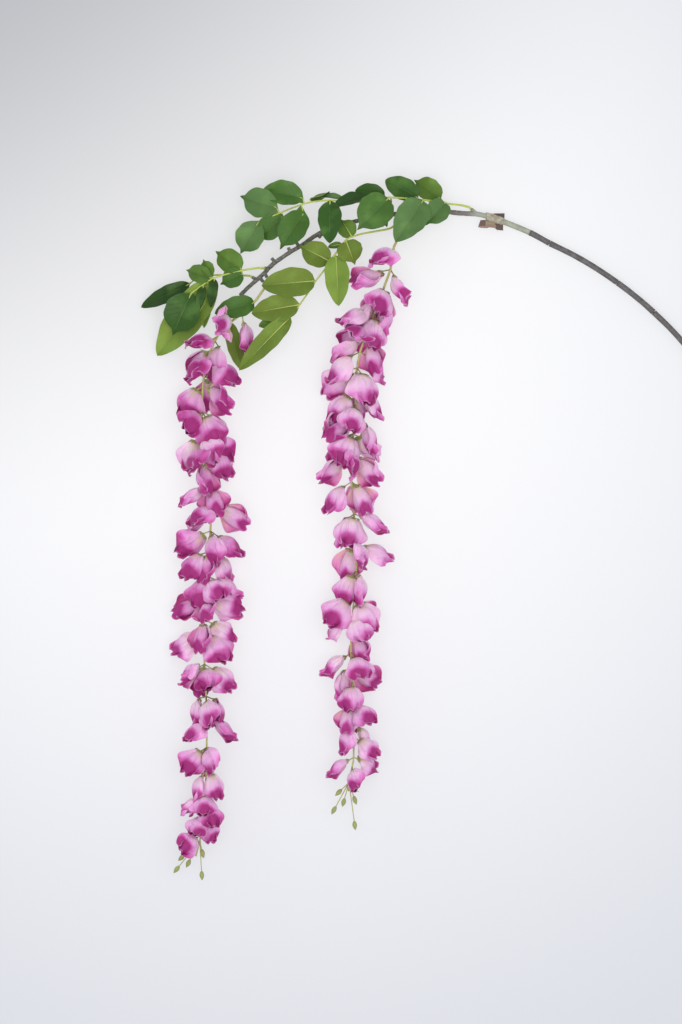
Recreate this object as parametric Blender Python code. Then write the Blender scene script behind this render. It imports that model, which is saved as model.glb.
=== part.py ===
# Artificial wisteria spray, lying on a surface as it is put down after use.
# A plastic-coated wire stem carries a branch with compound leaves and two long flower racemes.
# +X runs towards the cut end of the stem, -Y towards the tips of the racemes, and +Z is up.
# Pieces are drawn in millimetres from the fork, where the stem meets the branch, and
# TO_FRAME then puts them in metres, with the origin on the surface under the middle.

import math
import random

import bmesh
import bpy
from mathutils import Matrix, Vector

MM = 0.001
FORK_X = 13.16
FORK_Y = 317.76
TO_FRAME = Matrix.Translation((FORK_X * MM, FORK_Y * MM, 0)) @ Matrix.Scale(MM, 4)

GAP = 0.3                    # clearance left between pieces that touch
WIRE_RADIUS = 1.2
WIRE_SIDES = 6
COAT_RADIUS = 2.9
COAT_WALL = COAT_RADIUS - WIRE_RADIUS - GAP
COAT_SIDES = 8               # of the coat and the branch
CRACK = 1.2                  # opening where the coat has parted
BRANCH_RADIUS = (2.2, 2.35, 2.7)    # at the tip, the middle and the fork
PEG_RADIUS = (1.87, 1.7)     # inside the branch and at the end
STALK_SIDES = 5              # of stalks and pegs
SEAT_RUN = 2.5               # straight start of a stalk on its peg
ROUND_ANGLE = 40.0           # edges of the stem and branch that bend less are shaded round

LEAF_STALK_RADIUS = (1.15, 0.92)    # at the peg and at the end
LEAF_STALK_STEP = 12.0
LEAF_THICKNESS = 1.2         # along the midrib
LEAF_FOLD = 18.0             # degrees that each half is raised along the midrib
LEAF_ARCH = 0.07             # height of the arched midrib as a share of its length
LEAF_STATIONS = (0.02, 0.18, 0.46, 0.77, 0.985)    # shares of its length where it is shaped
NECK_HALF_WIDTH = 0.8        # of a leaflet where it leaves the leaf stalk
SLENDER = 0.67               # a leaflet narrower than this share of its length has a long point
LAST_ROOT = 0.85             # leaflets leave the stalk before this share of each stretch

RACEME_STALK_RADIUS = (1.38, 0.8)
RACEME_STALK_STEP = 22.0
PETAL_THICKNESS = 1.2
HOOD_LENGTH = 29.0           # the hooded petal of a floret
HOOD_HALF_WIDTH = 20.0       # along its curl
HOOD_STATIONS = (0.0, 0.43, 1.0)    # shares of its length where it is shaped
HOOD_ARC = (0.05, 0.8)       # the half sine that its width follows: where it starts, and how far
HOOD_FULLNESS = 0.75         # power of that sine, below 1 for fuller sides
HOOD_CURL = (1.6, 1.0)       # half of the angle that it is curled round, at its foot and rim
HOOD_NOTCH = 0.06            # depth of the notch in its rim, as a share of its length
HOOD_CORNERS = 0.3           # how far its corners stay behind the middle of the rim
HOOD_DOME = 7.0              # height of its arched back
HOOD_DOME_POWER = 0.85       # below 1 where that arch is highest nearer the foot
HOOD_DIP = 3.0               # drop of its rim
CALYX_LENGTH = 3.0
CALYX_RADIUS = 2.0
PEDICEL_LENGTH = 7.5
PEDICEL_RADIUS = 0.65
PEDICEL_SIDES = 3
BUD_LENGTH = 9.0
BUD_RADIUS = 2.4
BUD_STALK_RADIUS = 0.6

# One line runs through the branch, from its tip, and on through the stem to the cut end.
SPINE = (
    (-237, -85, 20), (-226.4, -75, 22), (-214.2, -64.4, 23.5), (-203.4, -53.7, 24),
    (-188, -43, 24.5), (-173, -33.8, 24.5), (-157, -23, 24), (-132, -14, 23),
    (-107, -8, 22), (-77, -3, 20), (-52, -0.5, 17.5), (-32, -0.5, 15),
    (-17, -1.7, 13), (0, -2.6, 12), (13, -5.2, 11.5), (29.4, -10.9, 11),
    (54, -21, 10.5), (74, -31.7, 10), (97, -43, 9.5), (119, -55.6, 9),
    (142, -71, 8.4), (160.5, -85, 7.8), (179, -101, 7.2), (205, -127, 6.3),
    (245, -175, 5), (280, -227, 3.8), (308, -282, 2.9),
)
JOINT = 14                   # the branch ends and the stem begins, under the tape
COAT_ENDS = ((14, 16), (16, 17), (17, 20), (20, 22), (22, 26))
SPINE_STEP = 20.0
WELD = 0.0001                # corners nearer than this are made one

# Pegs on the branch: centre on the branch, direction and reach from that centre.
UPPER_SEAT = ((1, -2.8, 12), (-0.75, 0.62, 0.25), 8.2)
LOWER_SEAT = ((-73, -2.8, 19.7), (-0.35, -0.75, 0.55), 5.5)
LEFT_SEAT = ((-208, -58.3, 23.8), (-0.75, -0.05, 0.65), 5.5)
SIDE_SEAT = ((-220.3, -69.7, 22.8), (-0.8, 0.5, -0.33), 5.5)
LEFT_RACEME_SEAT = ((-212.5, -62.7, 23.6), (0.45, -0.85, 0.25), 5.5)
RIGHT_RACEME_SEAT = ((-61, -1.3, 18.4), (-0.05, -0.95, 0.3), 5.5)
BARE_PEGS = (
    ((-178, -36.8, 24.5), (-0.5, 0.8, 0.2), 5.5),
    ((-187, -42.3, 24.5), (-0.3, 0.9, 0.3), 5.0),
    ((-202, -52.4, 24), (-0.6, 0.75, 0.2), 5.5),
    ((-217.5, -67.2, 23.1), (0.6, -0.75, 0.1), 6.0),
    ((-153, -21.3, 23.8), (-0.6, -0.75, 0.1), 8.5),
)

# Leaf stalks, and their leaflets as base, tip, width and roll about the midrib in degrees.
UPPER_STALK = (
    (-17, 6, 17), (-29, 7, 19.5), (-47, 9.5, 23), (-78, 11.5, 29), (-92, 11.5, 31),
    (-107, 9, 32.5), (-122, 6.5, 33), (-132, 7, 33), (-147, 8.5, 32.5), (-166, 7, 31.5),
    (-184, 1.5, 30), (-203.4, -6, 27.5), (-218, -11.6, 25.5),
)
UPPER_LEAFLETS = (
    ((-219, -13, 25), (-237, -43, 16), 30, 0),
    ((-200, 2, 28), (-237, 14.4, 20), 31, -10),
    ((-174, 11, 30), (-215, 20, 22), 27, 10),
    ((-194, -6, 26), (-220, -30, 19), 26, 0),
    ((-173, -4, 31), (-197, -40.7, 34), 30, 5),
    ((-167, 10, 31), (-147, 18, 27), 12, 75),
    ((-134, 10, 31), (-165, 12, 24), 12, 55),
    ((-112, 12, 31), (-144, 1, 38), 17, 35),
    ((-92, 13, 29), (-122, 20, 22), 20, 0),
    ((-89, 10, 36), (-120, -22, 41), 37, 0),
    ((-86, 9, 30), (-90.5, -18, 31), 12, 50),
    ((-54, 9, 28), (-82, -33.5, 41), 34, 0),
    ((-31, 8.5, 22), (-52, -16, 28), 25, 0),
    ((-59, 12, 25), (-91.4, 31.5, 16), 24, 0),
    ((-36, 12, 20), (-63, 32, 13), 24, 0),
    ((-147, 7, 34), (-147.4, -35.4, 43), 25, 0),
)
LOWER_STALK = (
    (-79, -12, 26), (-86, -18.6, 29), (-100, -22, 31.5), (-115.3, -24.9, 33),
    (-129, -29.6, 34), (-133.5, -34.4, 34), (-140.2, -43, 34.5), (-149.5, -57, 35.5),
    (-161.5, -72.7, 36.5), (-168, -83, 37), (-178.2, -97.7, 38.5), (-182, -105, 39.5),
    (-192, -112.5, 41),
)
LOWER_LEAFLETS = (
    ((-186, -108, 40.5), (-237, -161.5, 46), 22, 0),
    ((-178.2, -96, 38), (-225, -104.6, 38), 28, 0),
    ((-190, -108, 39), (-218, -117, 35), 14, 0),
    ((-161.5, -72, 36), (-215, -77, 38), 31, 0),
    ((-147.6, -52, 34.5), (-178, -37, 36), 27, 0),
    ((-141, -47, 34), (-138.4, -97.7, 44), 26, 0),
    ((-131, -32, 34), (-122, -56, 36), 27, 0),
    ((-125, -28, 33.5), (-136, -10, 31), 20, 0),
    ((-135.4, -35, 34), (-149, -38, 33), 7, 0),
)
LEFT_STALK = (
    (-219, -58.5, 30), (-235.6, -61.3, 31.5), (-250.3, -65, 33), (-262.3, -69, 34),
    (-272, -74.7, 34.5), (-286.2, -85, 34),
)
LEFT_LEAFLETS = (
    ((-235, -60, 31), (-261.5, -41.6, 26), 25, 0),
    ((-234, -64, 31), (-256.5, -75, 28), 21, 0),
    ((-265.4, -69, 34), (-291, -60, 27), 19, 0),
    ((-265.4, -67, 33), (-273.4, -50, 30), 14, 0),
    ((-273, -77, 34), (-278.2, -102, 37), 10, 0),
    ((-286, -86, 33.5), (-304, -126, 30), 38, 0),
    ((-262, -70, 34), (-265.4, -98.6, 39), 11, 0),
    ((-268, -75, 32), (-273, -118, 25), 13, 0),
    ((-262, -72, 30), (-321, -144.8, 11), 38, 0),
)
SIDE_STALK = (
    (-230.4, -65, 18.5), (-254.3, -64.3, 16), (-265.4, -64.5, 15), (-284, -69.5, 14),
    (-288, -72.5, 13.5),
)
SIDE_LEAFLETS = (((-288, -73, 13.5), (-337.2, -96, 9), 18, 0),)

# Racemes: the stalk from its seat to the last floret, then each tier of florets as its
# distance below the fork and the florets' azimuths in degrees, from 0 at the right over
# 90 on top and 180 at the left to 270 underneath.
LEFT_RACEME = (
    (-210.5, -71.5, 26), (-213.3, -79.5, 27), (-220, -89.4, 28), (-230, -100.5, 28),
    (-243, -110, 28), (-255, -119, 28), (-263, -133, 28), (-271, -154, 28),
    (-275, -193, 28), (-274, -231, 28), (-268, -270, 28), (-266, -300, 28),
    (-267, -335, 28), (-272, -400, 28), (-273, -435, 28), (-270, -505, 28),
    (-271, -575, 28), (-273, -605, 28), (-277, -630, 27), (-281, -646, 26),
)
LEFT_TIERS = (
    (104, (355,)), (110, (95,)), (127, (115,)), (131, (30,)), (140, (250,)),
    (148, (30, 112)), (162, (290,)), (176, (40, 172)),
    (201, (0, 63, 118)), (224, (0, 76, 200)), (238, (340, 126)),
    (250, (100, 270)), (274, (70, 135)), (296, (0, 113, 225)), (321, (0, 70, 180)),
    (341, (355, 90, 142)), (366, (0, 75, 117)), (388, (3, 92, 200)), (409, (0, 96)),
    (423, (35, 180)), (454, (0, 80, 120, 235)), (486, (35, 98, 180)), (508, (15, 116)),
    (537, (78, 136, 250)), (561, (25, 137)), (582, (87, 176)), (590, (55, 240)),
    (605, (15, 98)), (624, (126,)),
)
LEFT_BUDS = ((-274, -643, 30), (-300.5, -659.5, 25), (-289, -654, 22), (-275, -665.5, 26),
             (-296, -648.5, 20))
LEFT_BRACTS = (
    ((-222, -93, 29), (-262, -104, 31), 23, 0),
    ((-248, -112, 26), (-236, -159, 5), 17, 0),
)
RIGHT_RACEME = (
    (-63, -10.5, 22), (-67, -15, 23), (-73, -22, 25), (-79.5, -30, 27), (-83, -37, 28),
    (-85, -48, 28.5), (-86.5, -60, 28), (-91, -72, 28), (-99, -95, 28), (-109, -120, 28),
    (-117, -142, 28), (-121, -165, 28), (-121.5, -200, 28), (-126, -260, 28),
    (-121, -330, 28), (-121, -365, 28), (-126, -430, 28), (-124, -490, 28),
    (-123, -525, 28), (-123.5, -550, 28), (-128, -572, 27), (-128.5, -581, 26),
)
RIGHT_TIERS = (
    (42, (104,)), (60, (30, 152)), (78, (80, 270)), (90, (15, 185)), (104, (65, 140)),
    (119, (100, 240)), (130, (20, 175)), (142, (150, 320)), (158, (60, 205)),
    (180, (0, 165, 270)), (195, (90, 190)), (208, (10, 150)), (224, (332, 110, 200)),
    (247, (10, 92, 162)), (272, (28, 160, 270)), (304, (20, 108, 182)),
    (334, (350, 62, 220)), (361, (60, 140, 240)), (389, (45, 150, 290)), (406, (80, 220)),
    (423, (30,)), (442, (50, 172)), (458, (190, 330)), (472, (95,)), (494, (40, 107, 250)),
    (514, (150, 310)), (526, (10,)), (547, (165, 340)), (557, (90,)),
)
RIGHT_BUDS = ((-138.5, -582, 30), (-143.3, -600.5, 24), (-133.5, -593, 21),
              (-122, -590, 28), (-122.2, -615.4, 26))
PEDICEL_ANGLE = 60.0         # from the raceme's stalk, which the florets hang along
FLORET_ANGLE = 42.0
FLORET_ROLL = 80.0           # turned about its own axis by up to this
FLORET_SIZES = (1.18, 0.86)  # in the first tier and the last
FLORET_FLIPPED = 0.25        # share of florets that show their mouths
AZIMUTH_SPREAD = 14.0        # each floret differs from these values by up to its spread
PEDICEL_ANGLE_SPREAD = 14.0
PEDICEL_LENGTH_SPREAD = 2.0
FLORET_ANGLE_SPREAD = 30.0
FLORET_SIZE_SPREAD = (0.93, 1.08)
HANGING = 4.0                # florets that reach lower than this are made to touch the surface
LEFT_SEED = 11
RIGHT_SEED = 23

# The tape at the fork: a sleeve over the stem, with a torn tail and a lifted end.
TAPE_THICKNESS = 0.8
TAPE_SHARES = (0.77, 0.86)   # where the sleeve starts and ends, on the stretches beside the joint
TAPE_SIDES = 12
TAPE_CLEARANCE = GAP * 1.5
TAIL_LEVEL = 10.3            # height of the torn tail's underside
FLAP_LEVEL = 11.9
TAPE_TAIL = ((10.4, -8.7), (4, -13.5), (2, -15.2), (4.5, -16), (11, -16.2), (13, -15),
             (18, -15.6), (21, -17.6), (24.5, -18), (25.8, -13.6), (18, -10.9))
TAPE_FLAP = ((15.5, -2.2), (18.5, -1.8), (28, -2.0), (28.2, -6.6), (27, -6.3), (20, -3.9))

COLOURS = {
    "wire": (0.55, 0.55, 0.53), "coat_dark": (0.11, 0.10, 0.095), "coat_pale": (0.27, 0.30, 0.22),
    "bark": (0.09, 0.09, 0.065), "tape": (0.24, 0.17, 0.12), "leaf_dark": (0.035, 0.10, 0.03),
    "leaf_pale": (0.14, 0.22, 0.055), "petal": (0.58, 0.16, 0.42),
}


def clear_scene():
    for old in list(bpy.data.objects):
        bpy.data.objects.remove(old, do_unlink=True)


def make_material(name, metallic=0.0, roughness=0.6):
    material = bpy.data.materials.new(name)
    material.use_nodes = True
    shader = material.node_tree.nodes["Principled BSDF"]
    shader.inputs["Base Color"].default_value = (*COLOURS[name], 1.0)
    shader.inputs["Metallic"].default_value = metallic
    shader.inputs["Roughness"].default_value = roughness
    return material


def smooth_line(points, step, first=0, last=None):
    """Points along a curve through the given ones, about one step apart."""
    knots = [Vector(point) for point in points]
    end = len(knots) - 1
    last = end if last is None else last
    line = []
    for i in range(first, last):
        a, b, c, d = knots[max(i - 1, 0)], knots[i], knots[i + 1], knots[min(i + 2, end)]
        count = max(1, round((c - b).length / step))
        for k in range(count):
            t = k / count
            line.append(0.5 * (2 * b + (c - a) * t + (2 * a - 5 * b + 4 * c - d) * t * t
                               + (3 * b - a - 3 * c + d) * t ** 3))
    line.append(knots[last])
    return line


def ring_frame(line, i, radius):
    """Where the i-th ring of a rod stands: its axis lies along the line."""
    along = (line[min(i + 1, len(line) - 1)] - line[max(i - 1, 0)]).normalized()
    across = along.cross(Vector((0, 0, 1)))
    if across.length < 0.1:
        across = along.cross(Vector((1, 0, 0)))
    across.normalize()
    turn = Matrix((across, along.cross(across), along)).transposed().to_4x4()
    return Matrix.Translation(line[i]) @ turn @ Matrix.Scale(radius, 4)


def rod(line, radii, sides):
    """A closed round rod: a disc extruded from point to point along the line."""
    bm = bmesh.new()
    frame = ring_frame(line, 0, radii[0])
    bmesh.ops.create_circle(bm, cap_ends=True, segments=sides, radius=1, matrix=frame)
    bm.faces.ensure_lookup_table()
    end = bm.faces[0]
    for i in range(1, len(line)):
        start = end
        grown = bmesh.ops.extrude_face_region(bm, geom=[start])["geom"]
        end = next(item for item in grown if isinstance(item, bmesh.types.BMFace))
        if i > 1:
            bmesh.ops.delete(bm, geom=[start], context="FACES_ONLY")
        following = ring_frame(line, i, radii[i])
        bmesh.ops.transform(bm, matrix=following @ frame.inverted(), verts=end.verts[:])
        frame = following
    bmesh.ops.recalc_face_normals(bm, faces=bm.faces[:])
    return bm


def tapered(line, *stops):
    """Radii along a line, evenly blended from stop to stop."""
    radii = []
    for i in range(len(line)):
        place = i / (len(line) - 1) * (len(stops) - 1)
        k = min(int(place), len(stops) - 2)
        radii.append(stops[k] + (stops[k + 1] - stops[k]) * (place - k))
    return radii


def tube(line, radius, wall, sides):
    """An open-ended tube, its wall built inwards from the radius."""
    bm = rod(line, [radius] * len(line), sides)
    ends = [face for face in bm.faces if len(face.verts) == sides]
    bmesh.ops.delete(bm, geom=ends, context="FACES_ONLY")
    bmesh.ops.solidify(bm, geom=bm.faces[:], thickness=wall)
    bmesh.ops.recalc_face_normals(bm, faces=bm.faces[:])
    return bm


def blade(columns, rows, shape, thickness):
    """A closed blade that grows from one point, thick in the middle and thin at its edge.

    Both faces are one grid bent by shape(across, along), split into triangles alike.
    """
    bm = bmesh.new()
    bmesh.ops.create_grid(bm, x_segments=columns, y_segments=rows, size=1)
    foot = [vert for vert in bm.verts if vert.co.y < -0.999]
    for vert in bm.verts:
        vert.co = shape(vert.co.x, (vert.co.y + 1) / 2)
    bmesh.ops.pointmerge(bm, verts=foot, merge_co=shape(0, 0))
    bmesh.ops.triangulate(bm, faces=bm.faces[:])
    bm.normal_update()
    front = bmesh.ops.duplicate(bm, geom=bm.verts[:] + bm.edges[:] + bm.faces[:])["geom"]
    for item in front:
        if isinstance(item, bmesh.types.BMVert) and not item.is_boundary:
            item.co -= item.normal * thickness
    bmesh.ops.remove_doubles(bm, verts=bm.verts[:], dist=WELD)
    bmesh.ops.recalc_face_normals(bm, faces=bm.faces[:])
    return bm


def leaf_outline(along, slender):
    """Half width of a leaflet, as a share of its widest, from base to pointed tip."""
    if slender:
        return along ** 0.5 * (1 - along) ** 0.7 / 0.4426
    body = math.sqrt(max(0.0, 1 - ((along - 0.42) / 0.44) ** 2))
    return max(body, 1.4 * (1 - along) if along > 0.5 else 0.0)


def nearest_on(line, point):
    """The spot on a line nearest to a point, kept a little short of the line's end."""
    spots = []
    for a, b in zip(line, line[1:]):
        share = (point - a).dot(b - a) / (b - a).length_squared
        spots.append(a.lerp(b, min(LAST_ROOT, max(0.0, share))))
    return min(spots, key=lambda spot: (spot - point).length)


def leaflet(line, base, tip, width, roll):
    """One leaflet on a short neck from the leaf stalk, folded up a little along its midrib."""
    base, tip = Vector(base), Vector(tip)
    root = nearest_on(line, base)
    axis = tip - base
    along = axis.normalized()
    turn = Matrix.Rotation(math.radians(roll), 3, along)
    side = turn @ along.cross(Vector((0, 0, 1))).normalized()
    up = side.cross(along)
    lean = math.radians(LEAF_FOLD)
    rows = len(LEAF_STATIONS)
    slender = width < SLENDER * axis.length

    def shape(across, row):
        if row == 0:
            return root
        share = LEAF_STATIONS[round(row * rows) - 1]
        half = max(NECK_HALF_WIDTH, width / 2 * leaf_outline(share, slender))
        lift = half * abs(across) * math.sin(lean) + LEAF_ARCH * axis.length * math.sin(math.pi * share)
        return base + axis * share + side * (half * across * math.cos(lean)) + up * lift

    return blade(2, rows, shape, LEAF_THICKNESS)


def hood(frame, size):
    """The hooded petal of a floret, its back to +Z and its mouth towards -Z."""
    length, widest = HOOD_LENGTH * size, HOOD_HALF_WIDTH * size

    def shape(across, along):
        along = HOOD_STATIONS[round(along * 2)]
        half = widest * math.sin(math.pi * (HOOD_ARC[0] + HOOD_ARC[1] * along)) ** HOOD_FULLNESS
        curl = HOOD_CURL[0] + (HOOD_CURL[1] - HOOD_CURL[0]) * along
        radius = half / curl
        notch = HOOD_NOTCH * length * along * max(0.0, 1 - abs(across) * 2)
        reach = length * along * (1 - HOOD_CORNERS * across * across * along) - notch
        rise = HOOD_DOME * size * math.sin(math.pi * along ** HOOD_DOME_POWER)
        rise -= HOOD_DIP * size * along * along
        return frame @ Vector((radius * math.sin(across * curl), reach,
                               radius * (math.cos(across * curl) - 1) * min(1, along * 4) + rise))

    return blade(4, 2, shape, PETAL_THICKNESS)


def point_at(line, below):
    """The point of a raceme's stalk at a distance below the fork, and its direction there."""
    for a, b in zip(line, line[1:]):
        if a.y >= -below > b.y:
            share = (a.y + below) / (a.y - b.y)
            return a.lerp(b, share), (b - a).normalized()
    return line[-1], (line[-1] - line[-2]).normalized()


def floret(line, below, azimuth, size, draw):
    """The two solids of one floret: its pedicel with the calyx, and its hood."""
    root, along = point_at(line, below)
    right = Vector((1, 0, 0))
    right = (right - along * right.dot(along)).normalized()
    turn = math.radians(azimuth + draw.uniform(-AZIMUTH_SPREAD, AZIMUTH_SPREAD))
    outward = right * math.cos(turn) + along.cross(right) * math.sin(turn)
    lean = math.radians(PEDICEL_ANGLE + draw.uniform(-PEDICEL_ANGLE_SPREAD, PEDICEL_ANGLE_SPREAD))
    pedicel = outward * math.sin(lean) + along * math.cos(lean)
    tilt = math.radians(FLORET_ANGLE + draw.uniform(-FLORET_ANGLE_SPREAD, FLORET_ANGLE_SPREAD))
    axis = outward * math.sin(tilt) + along * math.cos(tilt)
    length = (PEDICEL_LENGTH + draw.uniform(-PEDICEL_LENGTH_SPREAD, PEDICEL_LENGTH_SPREAD)) * size
    roll = draw.uniform(-FLORET_ROLL, FLORET_ROLL) + (180 if draw.random() < FLORET_FLIPPED else 0)
    size *= draw.uniform(*FLORET_SIZE_SPREAD)
    start = root + pedicel * length
    upward = outward * math.cos(tilt) - along * math.sin(tilt)
    back = Matrix.Rotation(math.radians(roll), 3, axis) @ upward
    frame = Matrix((axis.cross(back), axis, back)).transposed().to_4x4()
    frame = Matrix.Translation(start) @ frame
    stem = rod([root, start + axis * CALYX_LENGTH * size], [PEDICEL_RADIUS, CALYX_RADIUS * size],
               PEDICEL_SIDES)
    solids = [stem, hood(frame, size)]
    settle(solids, root.z)
    return solids


def settle(solids, pivot):
    """Florets that hang below their stalk are pressed up to, or reach down to, the surface."""
    lowest = min(vert.co.z for bm in solids for vert in bm.verts)
    if lowest > HANGING:
        return
    squeeze = pivot / (pivot - lowest)
    for bm in solids:
        for vert in bm.verts:
            if vert.co.z < pivot:
                vert.co.z = pivot + (vert.co.z - pivot) * squeeze


def bud(line, place):
    """A closed bud on its own thin stalk."""
    tip = Vector(place)
    root = line[-2]
    way = (tip - root).normalized()
    neck = tip - way * BUD_LENGTH * 0.5
    bm = bmesh.new()
    turn = way.to_track_quat("Z", "Y").to_matrix().to_4x4()
    stretch = Matrix.Diagonal((BUD_RADIUS, BUD_RADIUS, BUD_LENGTH / 2, 1))
    bmesh.ops.create_uvsphere(bm, u_segments=4, v_segments=2, radius=1,
                              matrix=Matrix.Translation(tip) @ turn @ stretch)
    bmesh.ops.recalc_face_normals(bm, faces=bm.faces[:])
    return [rod([root, neck + way], [BUD_STALK_RADIUS] * 2, PEDICEL_SIDES), bm]


def add_object(name, bm, material, collection=None):
    mesh = bpy.data.meshes.new(name)
    bm.to_mesh(mesh)
    bm.free()
    mesh.transform(TO_FRAME)
    mesh.materials.append(material)
    made = bpy.data.objects.new(name, mesh)
    (collection or bpy.context.scene.collection).objects.link(made)
    return made


def drop_scraps(bm):
    """Leaves only the largest body: splinters and sealed hollows between petals go."""
    left = set(bm.faces)
    bodies = []
    while left:
        stack = [left.pop()]
        bodies.append([])
        while stack:
            face = stack.pop()
            bodies[-1].append(face)
            beside = {other for edge in face.edges for other in edge.link_faces} & left
            left -= beside
            stack.extend(beside)
    bodies.sort(key=len)
    for body in bodies[:-1]:
        bmesh.ops.delete(bm, geom=body, context="FACES")


def fused(name, base, solids, material):
    """One body from a base and the solids that grow from it, by a union on a collection."""
    body = add_object(name, base, material)
    grown = bpy.data.collections.new(name + "_grown")
    bpy.context.scene.collection.children.link(grown)
    for solid in solids:
        add_object(name + "_piece", solid, material, grown)
    union = body.modifiers.new("grow", "BOOLEAN")
    union.operation = "UNION"
    union.operand_type = "COLLECTION"
    union.collection = grown
    union.solver = "MANIFOLD"
    depsgraph = bpy.context.evaluated_depsgraph_get()
    bm = bmesh.new()
    bm.from_object(body, depsgraph)
    body.modifiers.clear()
    for piece in list(grown.objects):
        bpy.data.objects.remove(piece, do_unlink=True)
    bpy.data.collections.remove(grown)
    bmesh.ops.triangulate(bm, faces=bm.faces[:])
    bmesh.ops.remove_doubles(bm, verts=bm.verts[:], dist=WELD * MM)
    bmesh.ops.dissolve_degenerate(bm, edges=bm.edges[:], dist=WELD * MM)
    drop_scraps(bm)
    bm.to_mesh(body.data)
    bm.free()
    return body


def shade_round(made):
    made.data.shade_smooth()
    made.data.set_sharp_from_angle(angle=math.radians(ROUND_ANGLE))


def seat_line(seat, points):
    """A stalk's points, begun square to the peg that it is pushed on."""
    centre, way = Vector(seat[0]), Vector(seat[1]).normalized()
    start = centre + way * (seat[2] + GAP)
    return [start, start + way * SEAT_RUN, *[Vector(point) for point in points]]


def build_stem(materials):
    """The wire and the lengths of coat on it."""
    wire = smooth_line(SPINE, SPINE_STEP, JOINT)
    wire[0] = wire[0] + (wire[1] - wire[0]).normalized() * GAP
    made = [add_object("stem_core_wire", rod(wire, [WIRE_RADIUS] * len(wire), WIRE_SIDES),
                       materials["wire"])]
    for number, (first, last) in enumerate(COAT_ENDS):
        line = smooth_line(SPINE, SPINE_STEP, first, last)
        head = GAP if number == 0 else GAP / 2 if number == 1 else CRACK / 2
        foot = GAP / 2 if number == 0 else CRACK / 2 if last < len(SPINE) - 1 else 0.0
        line[0] = line[0] + (line[1] - line[0]).normalized() * head
        line[-1] = line[-1] + (line[-2] - line[-1]).normalized() * foot
        name = "stem_coat_pale" if number == 0 else f"stem_coat_dark_{number}"
        coat = tube(line, COAT_RADIUS, COAT_WALL, COAT_SIDES)
        made.append(add_object(name, coat, materials["coat_pale" if number == 0 else "coat_dark"]))
    for piece in made:
        shade_round(piece)


def build_branch(materials):
    """The branch with the pegs that leaf stalks and racemes are pushed on."""
    line = smooth_line(SPINE, SPINE_STEP, 0, JOINT)
    line[-1] = line[-1] + (line[-2] - line[-1]).normalized() * GAP
    pegs = []
    seats = (UPPER_SEAT, LOWER_SEAT, LEFT_SEAT, SIDE_SEAT, LEFT_RACEME_SEAT, RIGHT_RACEME_SEAT)
    for centre, way, reach in (*seats, *BARE_PEGS):
        centre, way = Vector(centre), Vector(way).normalized()
        pegs.append(rod([centre, centre + way * reach], PEG_RADIUS, STALK_SIDES))
    shade_round(fused("branch", rod(line, tapered(line, *BRANCH_RADIUS), COAT_SIDES), pegs,
                      materials["bark"]))


def build_leaf_spray(name, seat, points, leaflets, material):
    """A leaf stalk with its leaflets, fused in one body."""
    line = smooth_line(seat_line(seat, points), LEAF_STALK_STEP)
    solids = []
    for base, tip, width, roll in leaflets:
        solids.append(leaflet(line, base, tip, width, roll))
    fused(name, rod(line, tapered(line, *LEAF_STALK_RADIUS), STALK_SIDES), solids, material)


def build_raceme(name, seat, points, tiers, buds, bracts, seed, material):
    """A raceme: its stalk, its florets tier by tier, its buds and any leaf on its stalk."""
    line = smooth_line(seat_line(seat, points), RACEME_STALK_STEP)
    draw = random.Random(seed)
    solids = []
    for number, (below, azimuths) in enumerate(tiers):
        first, last = FLORET_SIZES
        size = first + (last - first) * (number / len(tiers)) ** 2
        for azimuth in azimuths:
            solids += floret(line, below, azimuth, size, draw)
    for place in buds:
        solids += bud(line, place)
    for base, tip, width, roll in bracts:
        solids.append(leaflet(line, base, tip, width, roll))
    fused(name, rod(line, tapered(line, *RACEME_STALK_RADIUS), STALK_SIDES), solids, material)


def plate(outline, height, thickness):
    """A flat plate over an outline, extruded upwards from the height."""
    bm = bmesh.new()
    face = bm.faces.new([bm.verts.new((x, y, height)) for x, y in outline])
    grown = bmesh.ops.extrude_face_region(bm, geom=[face])["geom"]
    bmesh.ops.translate(bm, vec=(0, 0, thickness),
                        verts=[item for item in grown if isinstance(item, bmesh.types.BMVert)])
    bmesh.ops.recalc_face_normals(bm, faces=bm.faces[:])
    return bm


def build_tape(materials):
    """The tape that holds the branch to the stem."""
    before, joint, after = [Vector(point) for point in SPINE[JOINT - 1:JOINT + 2]]
    line = [before.lerp(joint, TAPE_SHARES[0]), joint, joint.lerp(after, TAPE_SHARES[1])]
    sleeve = tube(line, COAT_RADIUS + TAPE_CLEARANCE + TAPE_THICKNESS, TAPE_THICKNESS, TAPE_SIDES)
    tail = plate(TAPE_TAIL, TAIL_LEVEL, TAPE_THICKNESS)
    flap = plate(TAPE_FLAP, FLAP_LEVEL, TAPE_THICKNESS)
    fused("binding_tape", sleeve, [tail, flap], materials["tape"])


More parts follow.
